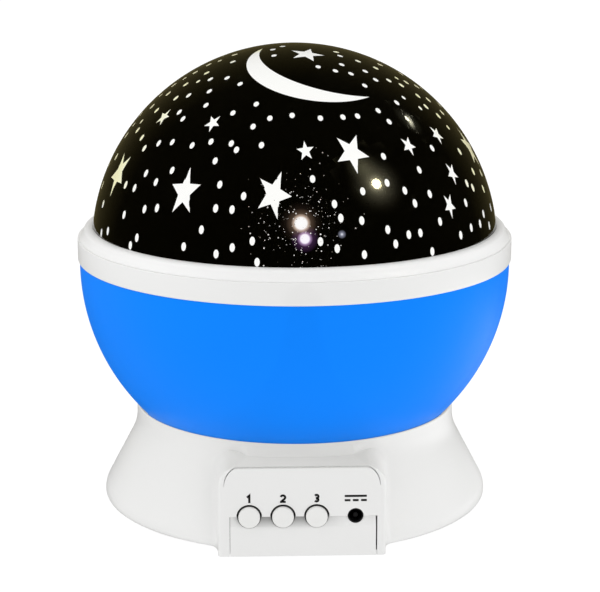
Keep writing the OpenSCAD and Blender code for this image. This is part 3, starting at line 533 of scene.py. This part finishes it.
def joined_mesh(name, parts):
    """One mesh from parts of (points, faces), where each part counts its own points from 0."""
    points, faces, count = [], [], 0
    for part, corners in parts:
        points.append(part.reshape(-1, 3))
        faces.append(corners + count)
        count += len(points[-1])
    return closed_mesh(name, np.concatenate(points), np.concatenate(faces))


one = [(-0.5, 1.4), (0.05, 1.88), (0.05, 0)]
two = np.vstack([arc((0, 1.31), 0.52, 165, -38, 14), [(-0.5, 0.2)]])
foot = [(-0.7, 0.2), (0.66, 0.2)]
three = np.vstack([arc((-0.05, 1.45), 0.43, 150, -80, 12), arc((-0.05, 0.64), 0.42, 80, -150, 12)])
number_size, number_z, line_z = 1.17, 16.95, 17.1
signs = [number_size * np.array(path) + [button_x[k], number_z]
         for path, k in ((one, 0), (two, 1), (foot, 1), (three, 2))]
signs += [np.array([(x0, z), (x1, z)]) + [inlet_x, line_z] for x0, x1, z in (
    (-3.1, 3.1, 1.6), (-3.1, -1.5, 0.35), (-0.8, 0.8, 0.35), (1.5, 3.1, 0.35))]
strokes = [(rows, grid_faces(len(rows), 4)) for rows in map(stroke, signs)]
place("face_marks", joined_mesh("face_marks", strokes), mark_ink, "base", ())


# --------------------------------------------------------- motor and gearing
# A flat geared motor hangs under the deck on two screws. Its nylon pinion
# drives the large gear under the bowl's floor, which turns the ball.

finish_nodes(brushed("motor_steel", (0.55, 0.56, 0.57), 0.3, (1.0, 1.0, 30.0)),
             "gearmotor", "motor_shaft")
finish_nodes(zinc_screw, "motor_screws", "post_screws", "gear_screws")
finish_nodes(moulded("natural_gear", (0.74, 0.7, 0.6),
                     {"Subsurface Weight": 0.15, "Subsurface Scale": 0.002},
                     gloss=0.42, drift=0.06, spread=0.1), "ball_gear", "drive_pinion")


# ------------------------------------------------------------ post and lamps
# A hollow white post is screwed to the deck. The ball turns on it, between a
# washer and a snap ring, and its head holds a round board with four lamps.

def place_turned(name, outline, finish, body, node, columns=288):
    """Adds a turned piece that stands for one CAD node."""
    return place(name, closed_mesh(name, *turned(outline, columns)), finish, body, [node])


finish_nodes(black_plastic, "thrust_washer")
white_reflector = moulded("white_reflector", (0.86, 0.86, 0.85), gloss=0.5, spread=0.1)
finish_nodes(white_reflector, "lamp_post")
head = soft_outline([(4.6, 66.0, 0.2), (7.5, 66.0, 0.4), (12.8, 72.0, 0.6), (12.8, 77.0, 0.15),
                     (12.0, 77.0, 0.1), (12.0, 75.4, 0), (10.8, 75.4, 0), (10.8, 73.0, 0.2),
                     (6.5, 68.0, 0.2), (4.6, 68.0, 0)])
place_turned("lamp_head_cup", head, white_reflector, "base", "lamp_head", 96)
finish_nodes(moulded("board_white", (0.78, 0.79, 0.76), gloss=0.4, drift=0.08, spread=0.2),
             "led_board")

lamp_outline = soft_outline([(0, 85.6, 0), (1.06, 85.6, 0.5), (2.12, 84.76, 0.6),
                             (2.5, 83.1, 0.9), (2.5, 78.0, 0), (2.9, 78.0, 0.1), (2.9, 77.0, 0),
                             (0, 77.0, 0)], steps=6)
lamp_resin = moulded("lamp_resin", (0.9, 0.82, 0.6),
                     {"Emission Color": (1.0, 0.86, 0.62, 1), "Emission Strength": 1.2},
                     gloss=0.12, drift=0.08, spread=0.05)
lens, lens_faces = turned(lamp_outline, 48)
lamp_ring_r = 4.6
lenses = [(lens + lamp_ring_r * np.array([np.cos(a), np.sin(a), 0]), lens_faces)
          for a in np.radians([45, 135, 225, 315])]
place("lamp_lenses", joined_mesh("lamp_lenses", lenses), lamp_resin, "base", ["leds"])


# ---------------------------------------------------------------------- bowl
# A blue moulding with a satin skin. Its wall is one arc from the neck in the
# base's dish up to the white ring, and its floor is screwed to the large gear.

bowl_r, bowl_x, bowl_z, bowl_t = 62.66, 1.79, 73.17, 2.2


def bowl_arc(offset, low_z, steps):
    """The bowl's arc about (bowl_x, bowl_z), moved in by offset, from low_z up to its middle."""
    radius = bowl_r - offset
    start = -np.degrees(np.arcsin((bowl_z - low_z) / radius))
    return arc((bowl_x, bowl_z), radius, start, 0, steps)


# The blue has a faint painted glow: an emission, though the bowl is no lamp.
blue_bowl = moulded("blue_bowl", (0.001, 0.205, 0.93),
                    {"Specular IOR Level": 0.07, "Emission Color": (0.0, 0.3, 1.0, 1),
                     "Emission Strength": 0.1},
                    gloss=0.42, drift=0.05, spread=0.1, size=1500.0, depth=0.000012)
bowl_outline = np.concatenate([
    [[7.1, 24.8], [45.0, 24.8], [45.0, 29.2], [46.5, 29.3]], bowl_arc(0, 29.45, 64),
    [[64.4, 75.0], [63.3, 75.0], [63.3, 79.2], [62.3, 79.2], [62.3, 72.0], [60.1, 72.0],
     [60.1, 70.8]],
    bowl_arc(bowl_t, 67.3, 4)[:1], bowl_arc(bowl_t, 29.7, 48)[::-1][6:],
    [[43.0, 28.9], [43.0, 26.8], [7.1, 26.8]]])
bowl_wall = place_turned("bowl_wall", bowl_outline, blue_bowl, "ball", "outer_bowl")
bowl_wall.visible_diffuse = bowl_wall.visible_glossy = False


# ------------------------------------------------------- ring round the bowl
# The lower part of the white ring is pressed over the bowl's lip. Inside it
# lies the reflector, a shallow white plate round the lamps.

ring = soft_outline([(63.4, 74.85, 0), (65.0, 74.85, 0.5), (65.0, 81.4, 0.35), (60.3, 81.4, 0.2),
                     (60.3, 79.4, 0), (63.4, 79.4, 0)])
place_turned("ring_band", ring, white_shell, "ball", "bowl_rim")
plate = soft_outline([(13.7, 69.6, 0.2), (14.9, 69.6, 0.3), (58.1, 72.0, 0.3), (62.1, 72.0, 0),
                      (62.1, 73.4, 0.2), (58.1, 73.4, 0.3), (14.9, 71.0, 0.3), (13.7, 71.0, 0.2)])
place_turned("reflector_dish", plate, white_reflector, "ball", "reflector_plate",
             192)


# ----------------------------------------------------------------- dome ring
# The upper part of the ring holds the dome. Its skirt pushes down inside the
# bowl's lip, and three keys on it drop into notches.

crown = soft_outline([(58.1, 75.6, 0), (60.1, 75.6, 0), (60.1, 81.42, 0), (64.35, 81.42, 0.12),
                      (63.55, 82.5, 0.7), (62.95, 84.1, 0.6), (61.7, 84.7, 0.6),
                      (60.42, 84.7, 0.12), (60.42, 84.3, 0), (60.9, 82.6, 0), (58.1, 82.6, 0)])
# A lighter copy of the white plastic for the crown: painted light that lifts it where the dark dome
# shades it.
white_ring_painted_lighter = moulded("white_ring_painted_lighter", (0.87, 0.87, 0.864), dull, gloss=0.3, drift=0.02, depth=0.000006)
place_turned("crown_ring", crown, white_ring_painted_lighter, "dome", "dome_ring")


# ----------------------------------------------------------------- star film
# A black printed film lies close under the clear dome. Stars, a crescent and
# round windows are left bare in the print; the lamps' light through them is a painted glow.
# The flat print is drawn out as it is formed, so figures low on it stand tall.

film_r = 59.15
film_t = 0.4
dome_z = 77.4


def sphere_outline(outer, thick, low_z, steps=64):
    """Outline of a shell of a sphere round the dome's centre, down to the height low_z."""
    rise = low_z - dome_z
    out = arc((0, dome_z), outer, np.degrees(np.arcsin(rise / outer)), 90, steps)
    back = arc((0, dome_z), outer - thick, 90, np.degrees(np.arcsin(rise / (outer - thick))), steps)
    return np.concatenate([out, back])


def vector(tree, operation, *values):
    """What a Vector Math node gives: a distance or a length as a value, or else a vector."""
    made = add(tree, "VectorMath", dict(enumerate(values)), operation=operation)
    return made.outputs["Value" if operation in ("DISTANCE", "LENGTH") else "Vector"]


def glow_distance_group():
    """Distance from a point on the film to the nearest of three like places, in units of Reach."""
    group, start, end = node_group(
        "glow_distance",
        {"First": "Vector", "Second": "Vector", "Third": "Vector", "Reach": "Float"},
        {"Distance": "Float"})
    where = here(group)
    near = [vector(group, "DISTANCE", where, start.outputs[k]) for k in range(3)]
    nearest = calc(group, "MINIMUM", calc(group, "MINIMUM", near[0], near[1]), near[2])
    group.links.new(calc(group, "DIVIDE", nearest, start.outputs["Reach"]), end.inputs[0])
    return group


def outward(way, up):
    """Unit vector at a direction round from the front and a height, in degrees."""
    w, u = np.radians(way), np.radians(up)
    return np.stack([np.sin(w) * np.cos(u), -np.cos(w) * np.cos(u), np.sin(u)], -1)


def film_ink_with_painted_glow():
    """Black ink with faint streaks, and a painted glow where the lamps stand closest behind it:
    a white core that dies away through brown, a smaller violet one under it and a faint one
    beside them, on three sides."""
    material, tree = new_finish("black_film")
    ink = skin(tree, (0.0014, 0.0014, 0.0009), gloss=0.6, drift=0.6, spread=0.2, depth=0.000001)
    glow = glow_distance_group()
    lights = []
    black = (0, 0, 0)
    for up, way, reach, stops in (
            (18.4, -0.2, 0.0059, (
                (0, (1, 1, 1)), (0.26, (1, 0.98, 0.96)), (0.34, (0.5, 0.38, 0.3)),
                (0.45, (0.07, 0.045, 0.03)), (0.7, (0.008, 0.005, 0.004)), (1, black))),
            (14.3, 0.8, 0.0038, (
                (0, (1, 0.98, 1)), (0.3, (0.97, 0.92, 1)), (0.4, (0.35, 0.22, 0.4)),
                (0.56, (0.035, 0.013, 0.045)), (1, black))),
            (15.2, 11.0, 0.0012, ((0, (0.8, 0.82, 0.9)), (0.4, (0.2, 0.21, 0.27)), (1, black)))):
        middles = {k: (film_r * outward(way + 120 * k, up) + [0, 0, dome_z]) * 0.001
                   for k in range(3)}
        spot = add(tree, "Group", {**middles, "Reach": reach}, node_tree=glow)
        lights.append(ramp(tree, spot.outputs[0], stops))
    total = lights[0]
    for light in lights[1:]:
        total = blend(tree, 1.0, total, light, blend_type="ADD")
    return end_finish(material, {**ink, "Emission Color": total, "Emission Strength": 1.0,
                                 "Specular IOR Level": 0.0})


# A shell of a sphere, with a thin foot that turns out to the clear dome's skin
shell = sphere_outline(film_r, film_t, 82.9)
film_outline = np.concatenate([shell, [[shell[-1, 0], 82.63], [60.55, 82.63], [60.55, 82.9]]])
place_turned("film_print", film_outline, film_ink_with_painted_glow(), "dome", "star_film", 192)


# -------------------------------------------------------------- bare windows
# The bare figures in the print: tall stars, a crescent round the top and
# nearly 300 round spots. Their glow is painted, warm white as if the lamps lit them.

def film_axes(way, up):
    """For each figure: unit vectors round the dome, up the dome and out of it."""
    w, out = np.radians(way), outward(way, up)
    round_way = np.stack([np.cos(w), np.sin(w), 0 * w], -1)
    return round_way, np.cross(out, round_way), out


def raised(flat, way, up):
    """Lays flat points (figure, rings, rim, 2) on the film: x round the dome, y up it, and
    the height from the sphere's equation, once a little over the film and once under it."""
    proud = 0.04
    round_way, up_way, out = (axis[:, None, None, :] for axis in film_axes(way, up))
    skins = []
    for radius in (film_r + proud, film_r - film_t - proud):
        height = np.sqrt(np.maximum(radius**2 - (flat**2).sum(-1), 0))[..., None]
        skins.append(flat[..., :1] * round_way + flat[..., 1:] * up_way + height * out
                     + [0, 0, dome_z])
    return np.concatenate([skins[0], skins[1][:, ::-1]], axis=1)


def window_parts(rim, way, up, rings=(0, 1.0)):
    """Points and faces of like figures, from their rims (figure, rim, 2): each one is filled
    with copies of its rim, drawn in to those shares."""
    points = raised(np.array(rings)[None, :, None, None] * rim[:, None], way, up)
    figures, rows, columns = points.shape[:3]
    return points, np.concatenate([grid_faces(rows, columns, first=k * rows * columns)
                                   for k in range(figures)])


# How far the print is drawn out along the dome, by the height in degrees
stretch_up = ((0, 20, 38, 60, 90), (1.5, 1.5, 1.28, 1.12, 1.05))


def stars(places, size, waist=0.41):
    """Five-pointed stars: every second point of a ring of ten comes in to the waist."""
    way, up, turn = np.array(places, float).T
    k = np.arange(10)
    r = np.where(k % 2 == 0, size, waist * size)[None]
    a = np.radians(36 * k[None] - turn[:, None])
    tall = np.interp(up, *stretch_up)[:, None]
    return window_parts(np.stack([r * np.sin(a), r * np.cos(a) * tall], -1), way, up,
                        rings=(0, 0.3, 0.6, 0.85, 1.0))


def spots(places, width=1.5):
    """Ellipses as wide as given and as tall as the print is drawn out at their height."""
    way, up = np.array(places, float).T
    a = np.radians(np.linspace(0, 360, 14, endpoint=False))[None]
    tall = np.interp(up, *stretch_up)[:, None]
    rim = 0.5 * width * np.stack([np.sin(a) + 0 * tall, np.cos(a) * tall * 1.08], -1)
    return window_parts(rim, way, up)


def crescent(way, up, outer, inner, shift):
    """Rows from the outer circle to the inner one, columns from horn to horn."""
    gap, lead = np.hypot(*shift), np.arctan2(shift[1], shift[0])
    cross = (gap**2 + outer**2 - inner**2) / (2 * gap)
    horn = np.sqrt(outer**2 - cross**2)
    columns, rows = np.linspace(0, 1, 73), np.linspace(0, 1, 9)[:, None, None]
    edges = []
    for radius, middle in ((outer, 0), (inner, gap)):
        first = np.arctan2(horn, cross - middle)
        a = first + columns * (2 * np.pi - 2 * first) + lead
        edges.append(radius * np.stack([np.cos(a), np.sin(a)], -1))
    far, near = edges[0], np.array(shift) + edges[1]
    points = raised((far + (near - far) * rows)[None], [way], [up])[0]
    return points, grid_faces(*points.shape[:2], wrap_rows=True, wrap_columns=False)


# Stars: directions round from the front, heights and turns
big_stars = [(-8.1, 26.0, -21), (-36.3, 25.0, 4), (17.5, 37.4, 40), (-71, 25.4, 36), (16, 79, 40),
             (80, 31, -16), (104, 24, 12), (141, 22, -14), (168, 30, 6), (-146, 34, -10),
             (-122, 22, 16)]
small_stars = [(1.7, 38.4, 6), (-35.3, 45.8, 42), (40.4, 37.6, 39), (48.6, 19.1, 34),
               (55.2, 27.3, 26), (58.4, 38.8, 20), (-63.4, 44.7, -3), (128, 40, -8),
               (179, 46, 18), (-160, 24, 0), (-104, 42, 4), (-96, 20, -18), (112, 58, 10),
               (-140, 60, -6)]
# Round spots in front, by height: each row holds the directions round from the front
spot_rows = {
    8: (-12, 38.5, -72, -53.5), 9.5: (-23.5, -67, 70.5, 17), 10.5: (-33.5, 51, -51),
    11.5: (9.5, 57, 63, -19, 26.5), 13.5: (76.5, -13.5, 5, 31, 35, 67),
    15.5: (-59, 24.5, -28.5, 43, -75.5), 18.5: (57, -50, 17), 19.5: (-45, 11, 73.5),
    21.5: (64.5, 35, -25, -20), 23.3: (41.5, 61.5, -63, -57.5, 78.5, 9.5), 25.3: (32.5, -17, 70),
    26.3: (-48.5, 18.5), 28: (-54.5, 27, -25), 30.3: (-43.5, 3.5, 40.5), 32: (67,),
    34.5: (-62, -28.5), 35.5: (28.5, 51), 37: (-55.5, -68), 38.2: (-49, -39.5, -22, -76),
    40: (-13.5, -32.5, -24.5), 43.5: (70.5, 78), 45.7: (-18, -83, -73.5, -51, 37.5),
    47.5: (-56, 67), 48.7: (-12, 76.5, 8.5, 18, 24.5), 49.8: (-28.5, -3, 35.5),
    51.4: (-67.5, -44, 49, -80, 70), 53.5: (-60, -19.5, 83), 56.5: (66.5, -73.5, -49, 76),
    59.5: (39, 61), 61: (-34, -58, -84.5, 51), 62.8: (-46.5, -69.5),
    65.3: (38, -86.5, 52, 67.5, 82), 67.5: (28.5,), 70.3: (63, -63.5, 17.5, 40), 75: (56,),
    77.5: (-29, 66.5), 82: (-50.5,), 86: (-58,)}
front_spots = [(way, up) for up, ways in spot_rows.items() for way in ways]


def apart(one, other):
    """Degrees between every place of one list and every place of the other."""
    a, b = (outward(*np.array([p[:2] for p in places], float).T) for places in (one, other))
    return np.degrees(np.arccos(np.clip(a @ b.T, -1, 1)))


def kept_off(places, *figures):
    """The places that stay off every list of figures by more than its gap in degrees."""
    for others, gap in figures:
        places = places[apart(places, others).min(1) > gap]
    return places


def spiral(count, low, share):
    """Places of equal areas: each turns on by the golden angle, and the sine of their height
    goes evenly from low to low + share."""
    golden, k = 137.508, np.arange(count)
    up = np.degrees(np.arcsin(low + share * (k + 0.5) / count))
    return np.stack([k * golden % 360 - 180, up], 1)


# The back of the dome has a spiral, kept off the other figures
crescent_at = [(21.6, 73.6)]
back_spots = spiral(320, 0.13, 0.86)
back_spots = kept_off(back_spots[np.abs(back_spots[:, 0]) > 80],
                      (big_stars, 8), (small_stars, 5), (front_spots, 4), (crescent_at, 24))

# Towards the upper sides the print is closer: a finer spiral of smaller spots
fine = spiral(640, 0, 1)
side, height = np.abs(fine[:, 0]), fine[:, 1]
fine = kept_off(fine[(side > 56) & (side < 120) & (height > 36) & (height < 84)],
                (big_stars, 8), (small_stars, 5), (front_spots, 3.4), (back_spots, 3.4),
                (crescent_at, 23))

# What the windows and the pinholes have in common: a dark film that only shines with a painted glow
bare_film_painted_glow = {"Base Color": (0.02, 0.02, 0.02, 1), "Emission Strength": 1.0,
             "Specular IOR Level": 0.1}


def window_painted_glow():
    """A painted glow of lamp light in the bare film: white in front, behind and low down, and a
    painted yellow towards the sides higher up."""
    material, tree = new_finish("painted_window_glow")
    where = here(tree)
    way = vector(tree, "NORMALIZE", vector(tree, "MULTIPLY", where, (1, 1, 0)))
    ahead = calc(tree, "ABSOLUTE", part_of(tree, way, "Y"))
    drift = calc(tree, "MULTIPLY_ADD", noise(tree, where, 60.0), 0.16, -0.08)
    low = span(tree, part_of(tree, where, "Z"), 0.092, 0.097, 0.35, 0.0)
    at = calc(tree, "ADD", calc(tree, "ADD", ahead, drift), low)
    glow = ramp(tree, at, [(0.1, (1, 0.93, 0.62)), (0.34, (0.98, 0.96, 0.6)), (0.55, (1, 1, 0.97))])
    return end_finish(material, {**bare_film_painted_glow, "Roughness": 0.4, "Emission Color": glow})


windows = [stars(big_stars, 4.95), stars(small_stars, 2.47), spots(front_spots), spots(back_spots),
           spots(fine, 1.15), crescent(21.6, 73.8, 19.9, 21.6, (7.05, 3.5))]
place("painted_glow_windows", joined_mesh("painted_glow_windows", windows), window_painted_glow(), "dome", ["star_film"])


# ------------------------------------------------------------------ pinholes
# Specks in the ink where the print is thin, each with a painted glow: a swarm of tiny sparks
# round each place where the lamps shine straight at the film.

def pinhole_painted_sparks():
    """Painted sparks of uneven brightness, set by a coarse noise over the swarm."""
    material, tree = new_finish("pinhole_painted_spark")
    cloud = noise(tree, here(tree), 900.0, 1.0)
    glow = ramp(tree, cloud, [(0.36, (0.14, 0.12, 0.1)), (0.56, (1.0, 0.97, 0.95))])
    return end_finish(material, {**bare_film_painted_glow, "Roughness": 0.5, "Emission Color": glow})


chance = np.random.default_rng(7)
swarm = []
for side in (0, 120, 240):
    away, turn = 8.5 * np.sqrt(chance.exponential(1.1, 240)), chance.uniform(0, 2 * np.pi, 240)
    swarm.append([side - 0.5 + 1.05 * away * np.cos(turn), 18.5 + away * np.sin(turn),
                  0.08 + 0.14 * chance.random(240)**3])
swarm = np.concatenate(swarm, axis=1)
ways, ups, sizes = swarm[:, swarm[1] > 6.5]
eight = np.radians(np.arange(0, 360, 45))
rims = sizes[:, None, None] * np.stack([np.sin(eight), np.cos(eight)], -1)
place("film_pinholes", closed_mesh("film_pinholes", *window_parts(rims, ways, ups)),
      pinhole_painted_sparks(), "dome", ["star_film"])


# ---------------------------------------------------------------- clear dome
# A clear moulded half ball over the film, in close contact with it, so that
# the print seems to reach the dome's very edge.

def clear_finish():
    """Clear plastic with a high polish: faint smears vary its roughness."""
    material, tree = new_finish("clear_shell")
    polish = span(tree, noise(tree, here(tree), 40.0, 4.0), 0.0, 1.0, 0.0, 0.04)
    return end_finish(material, {"Base Color": (1, 1, 1, 1), "Roughness": polish, "IOR": 1.49,
                                 "Transmission Weight": 1.0, "Specular IOR Level": 0.1,
                                 "Specular Tint": (0.9, 0.84, 0.6, 1)})


place_turned("dome_shell", sphere_outline(60.85, 2.3, 82.6, 96), clear_finish(), "dome",
             "clear_dome")


# -------------------------------------------------------------------- studio
# A white floor that keeps a soft shadow, a white room, six lamps that no gloss
# mirrors, and soft glowing cards that nothing but gloss mirrors.

def studio_white(tree, gloss):
    """1 for what the camera sees, itself or through clear plastic, and gloss for mirrors."""
    path = add(tree, "LightPath").outputs
    seen = calc(tree, "MAXIMUM", path["Is Camera Ray"], path["Is Transmission Ray"])
    return calc(tree, "MAXIMUM", seen, calc(tree, "MULTIPLY", path["Is Glossy Ray"], gloss))


def shine(tree, tone, strength):
    """Light of a tone, with a strength or a link to it."""
    return add(tree, "Emission", {"Color": (*tone, 1), "Strength": strength}).outputs[0]


def sheet(name, finish, x, y):
    """A flat piece of the studio that reaches x and y to both sides of its middle."""
    mesh = bpy.data.meshes.new(name)
    mesh.from_pydata([(-x, -y, 0), (x, -y, 0), (x, y, 0), (-x, y, 0)], [], [(0, 1, 2, 3)])
    mesh.materials.append(finish)
    return new_object(name, mesh)


# Gloss mirrors a dim warm room that is lighter towards the back
plain_light, mirror_tint = (1, 1, 1), (1, 0.84, 0.36)
mirror_front, mirror_back = 0.02, 0.11
floor_paper, paper = new_finish("floor_paper")
where, path = here(paper), add(paper, "LightPath").outputs
seen = calc(paper, "MULTIPLY", studio_white(paper, 0.0), 0.84)
seen = calc(paper, "MULTIPLY_ADD", path["Is Diffuse Ray"], 0.77, seen)
lit = add(paper, "BsdfDiffuse", {"Color": (0.9, 0.9, 0.9, 1)})
plain = add(paper, "MixShader", {0: seen, 1: lit.outputs[0],
                                           2: shine(paper, plain_light, 1.1)})
from_dome = vector(paper, "NORMALIZE", vector(paper, "SUBTRACT", where, (0, 0, 0.1)))
behind = span(paper, part_of(paper, from_dome, "Y"), 0.5, 1.0, mirror_front, mirror_back)
at_right = span(paper, vector(paper, "DISTANCE", where, (0.2, 0.0, 0)), 0.05, 0.15, 2.0, 0.0)
mirrored = add(paper, "AddShader", {0: shine(paper, mirror_tint, behind),
                                              1: shine(paper, plain_light, at_right)})
all_rays = add(paper, "MixShader", {0: path["Is Glossy Ray"], 1: plain.outputs[0],
                                              2: mirrored.outputs[0]})
add(paper, "OutputMaterial", {"Surface": all_rays.outputs[0]})
floor = sheet("floor", floor_paper, 6, 6)

room = bpy.data.worlds.new("room")
room.use_nodes = True
air = room.node_tree
air.nodes.clear()
path = add(air, "LightPath").outputs
ray = add(air, "TexCoord").outputs["Generated"]
fade = span(air, part_of(air, ray, "Z"), 0.0, 1.0, 0.8, 0.35)
behind = span(air, part_of(air, ray, "Y"), 0.5, 1.0, mirror_front, mirror_back)
level = calc(air, "MULTIPLY_ADD", path["Is Diffuse Ray"], fade, studio_white(air, behind))
tint = blend(air, path["Is Glossy Ray"], (*plain_light, 1), (*mirror_tint, 1))
sky = add(air, "Background", {"Color": tint, "Strength": level})
add(air, "OutputWorld", {"Surface": sky.outputs[0]})
bpy.context.scene.world = room


def turn_to(made, aim, way, up, distance):
    """Moves a lamp or a card to a direction round from the front of aim, and faces it there."""
    made.location = np.array(aim) + distance * outward(way, up)
    made.rotation_euler = (np.pi / 2 - np.radians(up), 0, np.radians(way))


# Oval lamps: direction round from the front, height, distance, size and power
for name, way, up, distance, size, power in (
        ("key", 20, 19, 1.6, (1.4, 1.0), 3.8),
        ("left", -80, 38, 1.7, (1.4, 1.0), 8.0),
        ("right", 95, 18, 1.7, (1.4, 1.0), 5.9),
        ("back_left", -130, 55, 1.7, (1.4, 1.0), 6.5),
        ("back_right", 130, 55, 1.7, (1.4, 1.0), 6.5),
        ("top", 0, 82, 1.6, (1.2, 1.2), 3.0)):
    lamp = new_object(name, bpy.data.lights.new(name, "AREA"))
    lamp.data.shape = "ELLIPSE"
    lamp.data.size, lamp.data.size_y = size
    lamp.data.energy = power
    turn_to(lamp, (0, 0, 0.07), way, up, distance)
    lamp.visible_glossy = False


def glow_card(name, aim, way, up, distance, size, tone, stops):
    """An oval card that only shiny skins mirror, seen from aim at a direction round from the
    front: its glow falls off from the middle, by stops of (share of the radius, strength)."""
    card, tree = new_finish(name)
    across = vector(tree, "MULTIPLY", here(tree), (2 / size[0], 2 / size[1], 0))
    fall = add(tree, "FloatCurve", {"Value": vector(tree, "LENGTH", across)})
    curve = fall.mapping.curves[0]
    most = max(level for _, level in stops)
    for at, level in stops[1:-1]:
        curve.points.new(at, (level / most) ** 0.5)
    curve.points[0].location = (0, (stops[0][1] / most) ** 0.5)
    curve.points[-1].location = (1, 0)
    fall.mapping.update()
    level = calc(tree, "MULTIPLY", calc(tree, "POWER", fall.outputs[0], 2.0), most)
    both = add(tree, "AddShader", {0: shine(tree, tone, level),
                                             1: add(tree, "BsdfTransparent").outputs[0]})
    add(tree, "OutputMaterial", {"Surface": both.outputs[0]})
    made = sheet(name, card, size[0] / 2, size[1] / 2)
    turn_to(made, aim, way, up, distance)
    made.visible_camera = made.visible_diffuse = False
    made.visible_transmission = made.visible_shadow = False


side_glint = (0.0318, -0.0299, 0.1198)
glow_card("spark_front", (0.0208, -0.0497, 0.1057), 57.2, 37.9, 1.2, (0.85, 0.78), (1, 0.98, 0.88),
          ((0, 60), (0.11, 52), (0.16, 8), (0.25, 2.6), (0.45, 0.7), (1, 0)))
glow_card("haze_front", (0.0171, -0.0482, 0.1103), 55.4, 48.4, 1.25, (0.5, 0.5), (1, 1, 0.82),
          ((0, 1.6), (0.2, 1.3), (0.5, 0.5), (1, 0)))
glow_card("spark_side", side_glint, 124, 37.2, 1.3, (0.24, 0.11), (1, 1, 0.86),
          ((0, 16), (0.2, 9), (0.5, 3), (1, 0)))
glow_card("spark_tip", (0.0308, -0.0297, 0.1206), 125, 38.4, 1.28, (0.08, 0.06), (1, 1, 0.92),
          ((0, 45), (0.4, 20), (1, 0)))
glow_card("haze_side", side_glint, 124, 38, 1.35, (0.36, 0.34), (1, 1, 0.82),
          ((0, 0.4), (0.5, 0.15), (1, 0)))

camera = new_object("camera", bpy.data.cameras.new("camera"))
camera.data.sensor_width = 36.0
camera.data.lens = 126.41
camera.data.sensor_fit = "HORIZONTAL"
camera.location = (-0.0216, -0.6196, 0.215)
camera.rotation_euler = (np.radians(90 - 13.88), 0, np.radians(-2.147))
bpy.context.scene.camera = camera
bpy.context.scene.view_settings.view_transform = "Standard"
